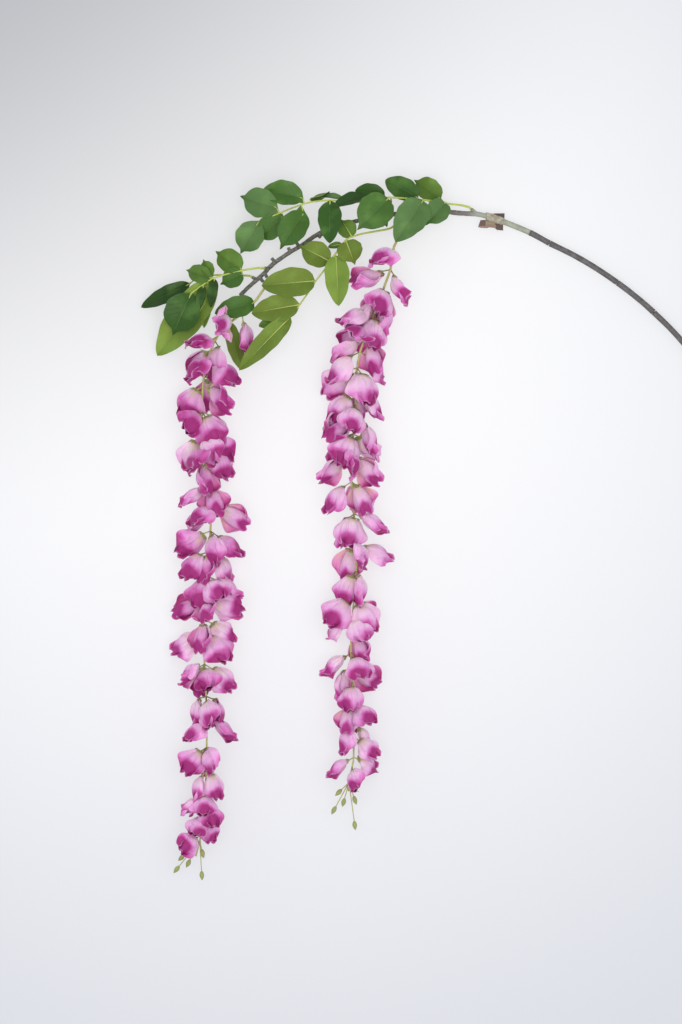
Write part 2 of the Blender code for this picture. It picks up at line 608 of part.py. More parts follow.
def main():
    clear_scene()
    materials = {name: make_material(name) for name in COLOURS if name != "wire"}
    materials["wire"] = make_material("wire", metallic=1.0, roughness=0.4)
    build_stem(materials)
    build_branch(materials)
    build_tape(materials)
    build_leaf_spray("leaf_spray_upper", UPPER_SEAT, UPPER_STALK, UPPER_LEAFLETS,
                     materials["leaf_dark"])
    build_leaf_spray("leaf_spray_lower", LOWER_SEAT, LOWER_STALK, LOWER_LEAFLETS,
                     materials["leaf_pale"])
    build_leaf_spray("leaf_spray_left", LEFT_SEAT, LEFT_STALK, LEFT_LEAFLETS,
                     materials["leaf_dark"])
    build_leaf_spray("leaf_spray_side", SIDE_SEAT, SIDE_STALK, SIDE_LEAFLETS,
                     materials["leaf_dark"])
    build_raceme("raceme_left", LEFT_RACEME_SEAT, LEFT_RACEME, LEFT_TIERS, LEFT_BUDS,
                 LEFT_BRACTS, LEFT_SEED, materials["petal"])
    build_raceme("raceme_right", RIGHT_RACEME_SEAT, RIGHT_RACEME, RIGHT_TIERS, RIGHT_BUDS,
                 (), RIGHT_SEED, materials["petal"])


main()
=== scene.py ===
# Artificial wisteria spray: finer pieces and materials over the CAD frame.
# Shapes are drawn in millimetres from the fork, where the stem meets the branch.
import math
import random

import bmesh
import bpy
from mathutils import Matrix, Vector, noise


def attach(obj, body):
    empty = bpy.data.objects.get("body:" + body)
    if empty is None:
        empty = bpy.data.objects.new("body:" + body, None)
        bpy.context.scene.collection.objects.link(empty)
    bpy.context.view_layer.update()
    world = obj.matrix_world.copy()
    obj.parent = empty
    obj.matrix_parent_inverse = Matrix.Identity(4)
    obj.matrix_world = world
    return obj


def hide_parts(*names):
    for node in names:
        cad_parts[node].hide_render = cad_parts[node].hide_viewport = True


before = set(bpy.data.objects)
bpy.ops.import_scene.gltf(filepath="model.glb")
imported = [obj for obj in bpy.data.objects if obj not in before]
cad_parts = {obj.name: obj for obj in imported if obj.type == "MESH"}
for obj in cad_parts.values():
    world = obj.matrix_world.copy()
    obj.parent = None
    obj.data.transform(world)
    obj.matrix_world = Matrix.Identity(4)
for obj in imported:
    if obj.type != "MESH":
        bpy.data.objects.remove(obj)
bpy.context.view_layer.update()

forkPlace = Vector((13.16, 317.76, 0))     # the fork, in millimetres from the frame's origin
toFrame = Matrix.Scale(0.001, 4) @ Matrix.Translation(forkPlace)
clearance = 0.3         # left between pieces that touch
phaseRange = 6.28       # about a full turn, in radians


# colours and nodes

def linear(hexColour):
    channels = [int(hexColour[i:i + 2], 16) / 255 for i in (1, 3, 5)]
    return (*[c / 12.92 if c <= 0.04045 else ((c + 0.055) / 1.055) ** 2.4 for c in channels], 1.0)


# Inputs go by a socket's name or number. Those of a MapRange node are 0 the value, 1 and 2 the range
# that it is read in, 3 and 4 the range that it is turned into.
def addNode(material, kind, settings=None, inputs=None, stops=None):
    node = material.node_tree.nodes.new("ShaderNode" + kind)
    for key, value in (settings or {}).items():
        setattr(node, key, value)
    for key, value in (inputs or {}).items():
        if isinstance(value, bpy.types.Node):
            value = value.outputs[0]
        if isinstance(value, bpy.types.NodeSocket):
            material.node_tree.links.new(value, node.inputs[key])
        else:
            node.inputs[key].default_value = value
    if stops:
        elements = node.color_ramp.elements
        while len(elements) < len(stops):
            elements.new(1.0)
        for element, (position, colour) in zip(elements, stops):
            element.position = position
            element.color = linear(colour)
    return node


def newMaterial(name, values):
    material = bpy.data.materials.new(name)
    material.use_nodes = True
    shader = material.node_tree.nodes["Principled BSDF"]
    for key, value in values.items():
        shader.inputs[key].default_value = value
    return material


def finish(material, colour, height=None, depth=0.0003, roughness=None):
    # colour, relief and roughness reach the material's shader
    links = material.node_tree.links
    shader = material.node_tree.nodes["Principled BSDF"]
    links.new(colour.outputs[0], shader.inputs["Base Color"])
    if height:
        bump = addNode(material, "Bump", inputs={"Strength": 0.6, "Distance": depth, "Height": height})
        links.new(bump.outputs[0], shader.inputs["Normal"])
    if roughness:
        links.new(roughness.outputs[0], shader.inputs["Roughness"])
    return material


def sheetPlace(material):
    # where a spot lies on its sheet: across and along it, and how far to one side of the middle
    uv = addNode(material, "UVMap", {"uv_map": "sheet"})
    place = addNode(material, "SeparateXYZ", inputs={0: uv})
    offset = addNode(material, "Math", {"operation": "SUBTRACT"}, {0: place, 1: 0.5})
    half = addNode(material, "Math", {"operation": "ABSOLUTE"}, {0: offset})
    return uv, place.outputs[0], place.outputs[1], offset, half


def makePetalSatin():
    # Polyester satin, printed and heat-pressed: soft, faintly glossy, pale at the foot and
    # deep at the rim, with creases where the press folded it, painted shade along the creases and a
    # painted highlight on the rim.
    material = newMaterial("petalSatin", {"Roughness": 0.5, "Specular IOR Level": 0.2,
                                          "Subsurface Weight": 0.5, "Subsurface Scale": 0.002,
                                          "Subsurface Radius": (1.0, 0.55, 0.85)})
    uv, across, along, offset, half = sheetPlace(material)
    middle = addNode(material, "Math", {"operation": "MULTIPLY"}, {0: half, 1: 2.0})
    tone = addNode(material, "Attribute", {"attribute_name": "tone"}).outputs["Fac"]
    # the print deepens from the foot to the rim, in uneven patches of about 12 mm, and not alike on
    # two petals
    spot = addNode(material, "TexCoord").outputs["Object"]
    blotch = addNode(material, "TexNoise", inputs={"Vector": spot, "Scale": 80.0, "Detail": 2.0})
    uneven = addNode(material, "MapRange", inputs={0: blotch, 1: 0.3, 2: 0.7, 3: -0.12, 4: 0.12})
    shift = addNode(material, "MapRange", inputs={0: tone, 1: 0.0, 2: 1.0, 3: -0.16, 4: 0.34})
    # and is deepest in one patch near the rim, to one side on most petals
    lean = addNode(material, "Attribute", {"attribute_name": "lean"}).outputs["Fac"]
    aside = addNode(material, "Math", {"operation": "MULTIPLY_ADD"}, {0: lean, 1: -0.25, 2: offset})
    patchPlace = addNode(material, "CombineXYZ", inputs={0: aside, 1: along})
    fromPatch = addNode(material, "VectorMath", {"operation": "DISTANCE"},
                        {0: patchPlace, 1: (0.0, 0.85, 0.0)})
    patch = addNode(material, "MapRange", {"interpolation_type": "SMOOTHSTEP"},
                    {0: fromPatch.outputs["Value"], 1: 0.06, 2: 0.42, 3: 0.42, 4: -0.04})
    shade = addNode(material, "Math", {"operation": "MULTIPLY_ADD"}, {0: along, 1: 0.7, 2: patch})
    shade = addNode(material, "Math", {"operation": "ADD"}, {0: shade, 1: uneven})
    shade = addNode(material, "Math", {"operation": "ADD"}, {0: shade, 1: shift})
    printed = addNode(material, "ValToRGB", inputs={0: shade}, stops=(
        (0.0, "#f6d0e3"), (0.24, "#edb9de"), (0.46, "#e099ce"), (0.64, "#c861a8"), (0.82, "#9f2b75")))
    # an olive stain runs from the calyx down the middle
    low = addNode(material, "MapRange", inputs={0: along, 1: 0.1, 2: 0.42, 3: 0.7, 4: 0.0})
    mid = addNode(material, "MapRange", inputs={0: middle, 1: 0.1, 2: 0.42, 3: 1.0, 4: 0.0})
    stain = addNode(material, "Math", {"operation": "MULTIPLY"}, {0: low, 1: mid})
    stained = addNode(material, "MixRGB", inputs={"Fac": stain, "Color1": printed,
                                                  "Color2": linear("#e3cc9c")})
    # the inner face is deeper, and keeps a pale throat
    throat = addNode(material, "ValToRGB", inputs={0: shade}, stops=(
        (0.0, "#e6b8b8"), (0.22, "#e09cc2"), (0.5, "#c45d98"), (0.9, "#942969")))
    inside = addNode(material, "Attribute", {"attribute_name": "inside"}).outputs["Fac"]
    sided = addNode(material, "MixRGB", inputs={"Fac": inside, "Color1": stained, "Color2": throat})
    # painted shade in the creases: fine dark lines run down the petal, a few millimetres apart
    stretched = addNode(material, "CombineXYZ", inputs={0: across, 1: along, 2: tone})
    drawn = addNode(material, "Mapping", inputs={"Vector": stretched, "Scale": (12.0, 0.6, 37.0)})
    lines = addNode(material, "TexNoise", inputs={"Vector": drawn, "Scale": 1.0, "Detail": 1.0})
    ridge = addNode(material, "Math", {"operation": "SUBTRACT"}, {0: lines, 1: 0.5})
    ridge = addNode(material, "Math", {"operation": "ABSOLUTE"}, {0: ridge})
    crease = addNode(material, "MapRange", inputs={0: ridge, 1: 0.0, 2: 0.022, 3: 0.35, 4: 0.0})
    creaseShaded = addNode(material, "MixRGB", inputs={"Fac": crease, "Color1": sided,
                                                  "Color2": linear("#96387f")})
    # a painted highlight lines the rim, about half a millimetre wide
    rim = addNode(material, "Math", {"operation": "MAXIMUM"}, {0: middle, 1: along})
    edge = addNode(material, "MapRange", inputs={0: rim, 1: 0.955, 2: 0.985, 3: 0.0, 4: 0.45})
    rimHighlighted = addNode(material, "MixRGB", inputs={"Fac": edge, "Color1": creaseShaded,
                                                "Color2": linear("#e9a6d8")})
    # satin threads of 0.3 mm are drawn about 1.6 mm apart, or they would not show
    weave = addNode(material, "TexWave", {"bands_direction": "DIAGONAL"},
                    {"Vector": uv, "Scale": 9.0, "Distortion": 0.6})
    relief = addNode(material, "Math", {"operation": "MULTIPLY_ADD"}, {0: weave, 1: 0.12, 2: ridge})
    return finish(material, rimHighlighted, relief, 0.0006)


def makeLeafSatin():
    # Polyester satin with a waxed top and a matt underside, veins pressed in by a hot die:
    # painted sheen patches on top, painted shade on one half of each blade, fine lines that run
    # from the midrib to the edge.
    material = newMaterial("leafSatin", {"Roughness": 0.4, "Specular IOR Level": 0.18})
    uv, across, along, _, half = sheetPlace(material)
    tone = addNode(material, "Attribute", {"attribute_name": "tone"}).outputs["Fac"]
    base = addNode(material, "ValToRGB", inputs={0: tone}, stops=(
        (0.0, "#254418"), (0.15, "#33581e"), (0.3, "#486e2b"), (0.45, "#5f814b"), (0.6, "#57762b"),
        (0.75, "#6f8131"), (0.9, "#86a043")))
    # dye pools in soft patches of about 20 mm
    spot = addNode(material, "TexCoord").outputs["Object"]
    blotch = addNode(material, "TexNoise", inputs={"Vector": spot, "Scale": 48.0, "Detail": 2.0})
    patch = addNode(material, "MapRange", inputs={0: blotch, 1: 0.35, 2: 0.7, 3: 0.0, 4: 0.3})
    pooled = addNode(material, "MixRGB", inputs={"Fac": patch, "Color1": base,
                                                 "Color2": linear("#3a5a24")})
    # and a painted sheen lightens the blade between them
    paintedSheen = addNode(material, "MapRange", inputs={0: blotch, 1: 0.5, 2: 0.28, 3: 0.0, 4: 0.3})
    sheenPainted = addNode(material, "MixRGB", inputs={"Fac": paintedSheen, "Color1": pooled,
                                                  "Color2": linear("#7aa352")})
    # painted shade: one half of each blade is a little darker than the other
    shadedHalfMask = addNode(material, "MapRange", {"interpolation_type": "SMOOTHSTEP"},
                     {0: across, 1: 0.42, 2: 0.56, 3: 0.42, 4: 0.0})
    halfShaded = addNode(material, "MixRGB", {"blend_type": "MULTIPLY"},
                     {"Fac": shadedHalfMask, "Color1": sheenPainted, "Color2": linear("#b4c2aa")})
    # side veins leave the midrib at a slant, eight on each side
    slant = addNode(material, "Math", {"operation": "MULTIPLY"}, {0: half, 1: -5.0})
    count = addNode(material, "Math", {"operation": "MULTIPLY_ADD"}, {0: along, 1: 8.0, 2: slant})
    wave = addNode(material, "Math", {"operation": "PINGPONG"}, {0: count, 1: 0.5})
    vein = addNode(material, "MapRange", {"interpolation_type": "SMOOTHSTEP"},
                   {0: wave, 1: 0.0, 2: 0.09, 3: 0.45, 4: 0.0})
    midrib = addNode(material, "MapRange", {"interpolation_type": "SMOOTHSTEP"},
                     {0: half, 1: 0.006, 2: 0.026, 3: 1.0, 4: 0.0})
    veins = addNode(material, "Math", {"operation": "MAXIMUM"}, {0: vein, 1: midrib})
    fine = addNode(material, "Math", {"operation": "MULTIPLY"}, {0: vein, 1: 0.35})
    thick = addNode(material, "Math", {"operation": "MAXIMUM"}, {0: fine, 1: midrib})
    share = addNode(material, "Math", {"operation": "MULTIPLY"}, {0: thick, 1: 0.28})
    # the underside is duller than the top, and its veins are yellower
    ink = addNode(material, "ValToRGB", inputs={0: tone}, stops=((0.3, "#6f8f55"), (0.7, "#7f9148")))
    dull = addNode(material, "MapRange", inputs={0: tone, 1: 0.5, 2: 0.7, 3: 0.36, 4: 0.6})
    veined = addNode(material, "MixRGB", inputs={"Fac": share, "Color1": halfShaded, "Color2": ink})
    # threads of 0.3 mm are drawn about 1 mm apart, or they would not show
    weave = addNode(material, "TexWave", {"bands_direction": "DIAGONAL"},
                    {"Vector": uv, "Scale": 14.0, "Distortion": 0.4})
    relief = addNode(material, "Math", {"operation": "MULTIPLY_ADD"}, {0: weave, 1: 0.05, 2: veins})
    return finish(material, veined, relief, 0.0005, dull)


def makeStalkPolyethylene():
    # Polyethylene, injection moulded over wire: waxy, mottled in spots of about 3 mm, yellow-green
    # on the leaf stalks and olive to brown on flower stalks, calyxes and buds.
    material = newMaterial("stalkPolyethylene", {"Roughness": 0.45, "Specular IOR Level": 0.45})
    tone = addNode(material, "Attribute", {"attribute_name": "tone"}).outputs["Fac"]
    spot = addNode(material, "TexCoord").outputs["Object"]
    base = addNode(material, "ValToRGB", inputs={0: tone}, stops=(
        (0.0, "#b4c455"), (0.25, "#c0bd7c"), (0.5, "#9aa360"), (0.75, "#8a824e"), (1.0, "#a88a78")))
    mottle = addNode(material, "TexNoise", inputs={"Vector": spot, "Scale": 300.0, "Detail": 3.0})
    fade = addNode(material, "MapRange", inputs={0: mottle, 1: 0.35, 2: 0.7, 3: 0.0, 4: 0.3})
    colour = addNode(material, "MixRGB", inputs={"Fac": fade, "Color1": base,
                                                 "Color2": linear("#7f8742")})
    return finish(material, colour, mottle, 0.0003)


def makeBarkPolyethylene():
    # Polyethylene moulded as bark: matt, grey-brown with a grain of 2 to 3 mm, browner and then
    # paler at the fork.
    material = newMaterial("barkPolyethylene", {"Roughness": 0.6, "Specular IOR Level": 0.4})
    spot = addNode(material, "TexCoord").outputs["Object"]
    place = addNode(material, "SeparateXYZ", inputs={0: spot})
    grain = addNode(material, "TexNoise", inputs={"Vector": spot, "Scale": 420.0, "Detail": 4.0})
    base = addNode(material, "ValToRGB", inputs={0: grain}, stops=(
        (0.3, "#4b4941"), (0.5, "#63635a"), (0.7, "#85857a")))
    fromFork = place.outputs[0]
    nearFork = addNode(material, "MapRange", inputs={0: fromFork, 1: -0.03, 2: 0.008, 3: 0.0, 4: 0.75})
    tint = addNode(material, "MapRange", inputs={0: fromFork, 1: 0.004, 2: 0.014, 3: 0.0, 4: 1.0})
    cast = addNode(material, "ValToRGB", inputs={0: tint}, stops=((0.0, "#7f7370"), (1.0, "#a6ad9c")))
    colour = addNode(material, "MixRGB", inputs={"Fac": nearFork, "Color1": base, "Color2": cast})
    return finish(material, colour, grain, 0.0009)


def makeCoatVinyl(name, dark, mid, light):
    # Soft vinyl coat on wire, extruded: satin, rubbed paler in patches of about 6 mm, with scuffs
    # of about 1 mm.
    material = newMaterial(name, {"Roughness": 0.5, "Specular IOR Level": 0.5})
    spot = addNode(material, "TexCoord").outputs["Object"]
    rub = addNode(material, "TexNoise", inputs={"Vector": spot, "Scale": 160.0, "Detail": 5.0,
                                                "Roughness": 0.65})
    colour = addNode(material, "ValToRGB", inputs={0: rub}, stops=(
        (0.32, dark), (0.5, mid), (0.72, light)))
    scuff = addNode(material, "TexNoise", inputs={"Vector": spot, "Scale": 900.0, "Detail": 3.0})
    dull = addNode(material, "MapRange", inputs={0: rub, 1: 0.3, 2: 0.7, 3: 0.42, 4: 0.62})
    return finish(material, colour, scuff, 0.0003, dull)


def makeTapePaper():
    # Waxed crepe paper tape, stretched and wound: dull, with ribs about 1 mm apart, aged brown in
    # stains of about 3 mm.
    material = newMaterial("tapePaper", {"Roughness": 0.7, "Specular IOR Level": 0.3})
    tone = addNode(material, "Attribute", {"attribute_name": "tone"}).outputs["Fac"]
    spot = addNode(material, "TexCoord").outputs["Object"]
    base = addNode(material, "ValToRGB", inputs={0: tone}, stops=(
        (0.0, "#b9b8a4"), (0.12, "#a3907c"), (0.35, "#9a7a70"), (0.7, "#6e5a55"), (1.0, "#4c493f")))
    stain = addNode(material, "TexNoise", inputs={"Vector": spot, "Scale": 350.0, "Detail": 4.0})
    fade = addNode(material, "MapRange", inputs={0: stain, 1: 0.35, 2: 0.7, 3: 0.0, 4: 0.45})
    colour = addNode(material, "MixRGB", inputs={"Fac": fade, "Color1": base,
                                                 "Color2": linear("#6a5348")})
    ribs = addNode(material, "TexWave", {"bands_direction": "DIAGONAL"},
                   {"Vector": spot, "Scale": 420.0, "Distortion": 1.5})
    return finish(material, colour, ribs, 0.0003)


def makeWireSteel():
    # Annealed steel wire, drawn: dark grey metal with a soft shine where the coat has parted, and
    # spots of 1 to 2 mm.
    material = newMaterial("wireSteel", {"Metallic": 1.0, "Roughness": 0.4})
    spot = addNode(material, "TexCoord").outputs["Object"]
    spangle = addNode(material, "TexNoise", inputs={"Vector": spot, "Scale": 700.0, "Detail": 2.0})
    colour = addNode(material, "ValToRGB", inputs={0: spangle}, stops=(
        (0.35, "#5f5d5b"), (0.65, "#8b8986")))
    return finish(material, colour)


petalSatin = makePetalSatin()
leafSatin = makeLeafSatin()
stalkPolyethylene = makeStalkPolyethylene()
barkPolyethylene = makeBarkPolyethylene()
coatDark = makeCoatVinyl("coatVinylDark", "#474344", "#585454", "#747071")
coatPale = makeCoatVinyl("coatVinylPale", "#80877a", "#979c89", "#adb09d")
tapePaper = makeTapePaper()
wireSteel = makeWireSteel()
print("materials made")


# shapes

def newShell():
    bm = bmesh.new()
    bm.loops.layers.uv.new("sheet")
    bm.faces.layers.float.new("tone")
    bm.faces.layers.float.new("inside")
    bm.faces.layers.float.new("lean")
    return bm


def join(shell, part):
    # the part's faces go into the shell, and the part is used up
    mesh = bpy.data.meshes.new("part")
    part.to_mesh(mesh)
    part.free()
    shell.from_mesh(mesh)
    bpy.data.meshes.remove(mesh)


def smoothLine(points, step, first=0, last=None):
    # a curve through the points, about one step from spot to spot
    knots = [Vector(point) for point in points]
    end = len(knots) - 1
    last = end if last is None else last
    line = []
    for i in range(first, last):
        a, b, c, d = knots[max(i - 1, 0)], knots[i], knots[i + 1], knots[min(i + 2, end)]
        count = max(1, round((c - b).length / step))
        for k in range(count):
            t = k / count
            line.append(0.5 * (2 * b + (c - a) * t + (2 * a - 5 * b + 4 * c - d) * t * t
                               + (3 * b - a - 3 * c + d) * t ** 3))
    line.append(knots[last])
    return line


def shorten(line, head=0.0, foot=0.0):
    # takes a little off a line's ends
    line[0] = line[0] + (line[1] - line[0]).normalized() * head
    line[-1] = line[-1] + (line[-2] - line[-1]).normalized() * foot
    return line


def tapered(line, *stops):
    # a radius for each spot, from stop to stop in even steps
    radii = []
    for i in range(len(line)):
        place = i / (len(line) - 1) * (len(stops) - 1)
        k = min(int(place), len(stops) - 2)
        radii.append(stops[k] + (stops[k + 1] - stops[k]) * (place - k))
    return radii


def ringFrame(line, i, radius):
    # the place, turn and size of a rod's ring at one spot
    along = (line[min(i + 1, len(line) - 1)] - line[max(i - 1, 0)]).normalized()
    across = along.cross(Vector((0, 0, 1)))
    if across.length < 0.1:
        across = along.cross(Vector((1, 0, 0)))
    across.normalize()
    turn = Matrix((across, along.cross(across), along)).transposed().to_4x4()
    return Matrix.Translation(line[i]) @ turn @ Matrix.Scale(radius, 4)


def rod(line, radii, sides, tone=0.0):
    # a closed round rod: a disc extruded from spot to spot
    bm = newShell()
    ring = ringFrame(line, 0, radii[0])
    bmesh.ops.create_circle(bm, cap_ends=True, segments=sides, radius=1, matrix=ring)
    bm.faces.ensure_lookup_table()
    end = bm.faces[0]
    for i in range(1, len(line)):
        start = end
        grown = bmesh.ops.extrude_face_region(bm, geom=[start])["geom"]
        end = next(item for item in grown if isinstance(item, bmesh.types.BMFace))
        if i > 1:
            bmesh.ops.delete(bm, geom=[start], context="FACES_ONLY")
        following = ringFrame(line, i, radii[i])
        bmesh.ops.transform(bm, matrix=following @ ring.inverted(), verts=end.verts[:])
        ring = following
    bmesh.ops.recalc_face_normals(bm, faces=bm.faces[:])
    layer = bm.faces.layers.float["tone"]
    for face in bm.faces:
        face[layer] = tone
    return bm


def tube(line, radii, wall, sides):
    # a rod with its ends taken off and a wall put on
    bm = rod(line, radii, sides)
    ends = [face for face in bm.faces if len(face.verts) == sides]
    bmesh.ops.delete(bm, geom=ends, context="FACES_ONLY")
    bmesh.ops.solidify(bm, geom=bm.faces[:], thickness=wall)
    bmesh.ops.recalc_face_normals(bm, faces=bm.faces[:])
    return bm


def sheet(columns, rows, shape, thickness, tones, insides=(0.0, 1.0), lean=0.0):
    # A closed sheet that grows from one spot. Its two faces share the rim, and differ in tone.
    bm = newShell()
    toneLayer = bm.faces.layers.float["tone"]
    insideLayer = bm.faces.layers.float["inside"]
    leanLayer = bm.faces.layers.float["lean"]
    bmesh.ops.create_grid(bm, x_segments=columns, y_segments=rows, size=1, calc_uvs=True)
    foot = [vert for vert in bm.verts if vert.co.y < -0.999]
    for vert in bm.verts:
        vert.co = shape(vert.co.x, (vert.co.y + 1) / 2)
    bmesh.ops.pointmerge(bm, verts=foot, merge_co=shape(0, 0))
    for face in bm.faces:
        face[toneLayer], face[insideLayer], face[leanLayer] = tones[0], insides[0], lean
    bm.normal_update()
    rim = [vert for vert in bm.verts if vert.is_boundary]
    for edge in bm.edges:
        edge.smooth = not edge.is_boundary
    copied = bmesh.ops.duplicate(bm, geom=bm.verts[:] + bm.edges[:] + bm.faces[:])["geom"]
    faces = []
    for item in copied:
        if isinstance(item, bmesh.types.BMFace):
            item[toneLayer], item[insideLayer] = tones[1], insides[1]
            faces.append(item)
        elif isinstance(item, bmesh.types.BMVert):
            if item.is_boundary:
                rim.append(item)
            else:
                item.co -= item.normal * thickness
    bmesh.ops.reverse_faces(bm, faces=faces)
    bmesh.ops.remove_doubles(bm, verts=rim, dist=0.0001)
    return bm


def addPiece(name, bm, material, node):
    mesh = bpy.data.meshes.new(name)
    bm.to_mesh(mesh)
    bm.free()
    mesh.transform(toFrame)
    mesh.shade_smooth()
    mesh.materials.append(material)
    piece = bpy.data.objects.new(name, mesh)
    bpy.context.scene.collection.objects.link(piece)
    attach(piece, "root")
    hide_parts(node)


def nearestOn(line, point, furthest=0.85):
    # the nearest spot of the line, a little short of each stretch's end
    spots = []
    for a, b in zip(line, line[1:]):
        share = (point - a).dot(b - a) / (b - a).length_squared
        spots.append(a.lerp(b, min(furthest, max(0.0, share))))
    return min(spots, key=lambda spot: (spot - point).length)


straightRun = 2.5       # how far a stalk leaves its peg before it bends


def seatLine(seat, points):
    # a seat is a peg's foot, its way and its length, and a stalk starts square to it
    centre, way = Vector(seat[0]), Vector(seat[1]).normalized()
    start = centre + way * (seat[2] + clearance)
    return [start, start + way * straightRun, *[Vector(point) for point in points]]


# the stem: a wire in five lengths of coat

# from the branch's tip over the fork to the cut end
spine = (
    (-237, -85, 20), (-226.4, -75, 22), (-214.2, -64.4, 23.5), (-203.4, -53.7, 24),
    (-188, -43, 24.5), (-173, -33.8, 24.5), (-157, -23, 24), (-132, -14, 23),
    (-107, -8, 22), (-77, -3, 20), (-52, -0.5, 17.5), (-32, -0.5, 15),
    (-17, -1.7, 13), (0, -2.6, 12), (13, -5.2, 11.5), (29.4, -10.9, 11),
    (54, -21, 10.5), (74, -31.7, 10), (97, -43, 9.5), (119, -55.6, 9),
    (142, -71, 8.4), (160.5, -85, 7.8), (179, -101, 7.2), (205, -127, 6.3),
    (245, -175, 5), (280, -227, 3.8), (308, -282, 2.9),
)
stem = {
    "joint": 14,                # the spot of the spine where branch and stem meet
    "wireRadius": 1.2, "wireStep": 5, "wireSides": 14,
    "coatRadius": 2.9, "wall": 1.4, "coatStep": 2.5, "coatSides": 28,
    "swell": 0.16, "swellLength": 2.5,          # the dark coat is thicker beside a crack
    "uneven": 0.12, "unevenGrain": 0.11,
    "crack": 0.8, "ragged": 0.5, "raggedReach": 1.15, "raggedGrain": 0.9,
    "lengths": (("stem_coat_pale", 14, 16), ("stem_coat_dark_1", 16, 17), ("stem_coat_dark_2", 17, 20),
                ("stem_coat_dark_3", 20, 22), ("stem_coat_dark_4", 22, 26)),
}


def buildCoat(number, node, first, last):
    line = smoothLine(spine, stem["coatStep"], first, last)
    pale, cracked = number == 0, last < len(spine) - 1
    head = clearance if pale else clearance / 2 if number == 1 else stem["crack"] / 2
    foot = clearance / 2 if pale else stem["crack"] / 2 if cracked else 0.0
    shorten(line, head, foot)
    radii = []
    for spot in line:
        fromEnd = min((spot - line[0]).length, (spot - line[-1]).length)
        swell = 0.0 if pale else stem["swell"] * math.exp(-fromEnd / stem["swellLength"])
        uneven = stem["uneven"] * noise.noise(spot * stem["unevenGrain"])
        radii.append(stem["coatRadius"] + swell + uneven)
    coat = tube(line, radii, stem["wall"], stem["coatSides"])
    ragged = [] if pale else [(line[0], line[1])]
    if cracked:
        ragged.append((line[-1], line[-2]))
    for vert in coat.verts:
        for spot, following in ragged:
            if (vert.co - spot).length < stem["coatRadius"] * stem["raggedReach"]:
                way = (spot - following).normalized()
                vert.co += way * stem["ragged"] * noise.noise(vert.co * stem["raggedGrain"])
    if pale:
        addPiece("coatPale", coat, coatPale, node)
    else:
        addPiece(f"coatDark{number}", coat, coatDark, node)


def buildStem():
    wire = shorten(smoothLine(spine, stem["wireStep"], stem["joint"]), clearance)
    radii = [stem["wireRadius"]] * len(wire)
    addPiece("wire", rod(wire, radii, stem["wireSides"]), wireSteel, "stem_core_wire")
    for number, (node, first, last) in enumerate(stem["lengths"]):
        buildCoat(number, node, first, last)


buildStem()
print("stem made")


# the branch and its pegs

seats = {
    "upper": ((1, -2.8, 12), (-0.75, 0.62, 0.25), 8.2),
    "lower": ((-73, -2.8, 19.7), (-0.35, -0.75, 0.55), 5.5),
    "left": ((-208, -58.3, 23.8), (-0.75, -0.05, 0.65), 5.5),
    "side": ((-220.3, -69.7, 22.8), (-0.8, 0.5, -0.33), 5.5),
    "leftRaceme": ((-212.5, -62.7, 23.6), (0.45, -0.85, 0.25), 5.5),
    "rightRaceme": ((-61, -1.3, 18.4), (-0.05, -0.95, 0.3), 5.5),
}
branch = {
    "radii": (2.2, 2.35, 2.7), "step": 2.5, "sides": 20,
    "knobs": 0.35, "knobGrain": 0.35, "fineGrain": 0.9, "fineShare": 0.5, "sunk": 0.4,
    "pegRadius": 1.7, "pegSides": 14,
    "pegShares": (0.0, 0.45, 0.7, 0.74, 0.95, 1.0), "pegSwells": (1.25, 1.1, 0.95, 1.05, 1.0, 0.8),
    "bare": (
        ((-178, -36.8, 24.5), (-0.5, 0.8, 0.2), 5.5),
        ((-187, -42.3, 24.5), (-0.3, 0.9, 0.3), 5.0),
        ((-202, -52.4, 24), (-0.6, 0.75, 0.2), 5.5),
        ((-217.5, -67.2, 23.1), (0.6, -0.75, 0.1), 6.0),
        ((-153, -21.3, 23.8), (-0.6, -0.75, 0.1), 8.5),
    ),
}


def buildBranch():
    shell = newShell()
    line = shorten(smoothLine(spine, branch["step"], 0, stem["joint"]), foot=clearance)
    twig = rod(line, tapered(line, *branch["radii"]), branch["sides"])
    for vert in twig.verts:
        out = (vert.co - nearestOn(line, vert.co)).normalized()
        bump = noise.noise(vert.co * branch["knobGrain"])
        bump += branch["fineShare"] * noise.noise(vert.co * branch["fineGrain"])
        vert.co += out * branch["knobs"] * (bump - branch["sunk"])
    join(shell, twig)
    for centre, way, reach in (*seats.values(), *branch["bare"]):
        centre, way = Vector(centre), Vector(way).normalized()
        spots = [centre + way * reach * share for share in branch["pegShares"]]
        radii = [branch["pegRadius"] * swell for swell in branch["pegSwells"]]
        join(shell, rod(spots, radii, branch["pegSides"]))
    addPiece("branchBark", shell, barkPolyethylene, "branch")


buildBranch()
print("branch made")


# leaf sprays: a stalk, and leaflets as base, tip, width, roll in degrees and shade of the upper face

leafShades = {"deep": 0.0, "dark": 0.15, "mid": 0.3, "grey": 0.45, "bright": 0.6, "olive": 0.75,
              "lime": 0.9}
leaf = {
    "columns": 14, "rows": 24, "thickness": 0.5,
    "fold": 18, "arch": 0.07, "flat": 1.25,     # degrees, share of the length, flatness beside the midrib
    "neck": 0.8, "end": 0.15,                   # least half widths, at the base and at the tip
    "broad": 0.67,                              # a leaflet wider than this share of its length is round
    "bodyMiddle": 0.42, "bodyReach": 0.44, "tipSlope": 1.4,
    "slenderPeak": 0.4426,                      # the slender curve's own greatest value
    "wave": 0.9, "waveWidth": 28, "waves": (7, 11), "uneven": 0.025, "unevenWaves": 2.3,
    "groove": 0.35, "grooveWidth": 0.9,         # of the midrib
    "shadeSpread": 0.03, "paleFrom": 0.7,
    "ribRadii": (0.85, 0.55, 0.35, 0.2, 0.1), "ribSides": 8, "ribTone": 0.12,
    "ribSpots": 9, "ribOnBack": -0.05, "ribUnder": -0.75, "shortNeck": 0.5,
}
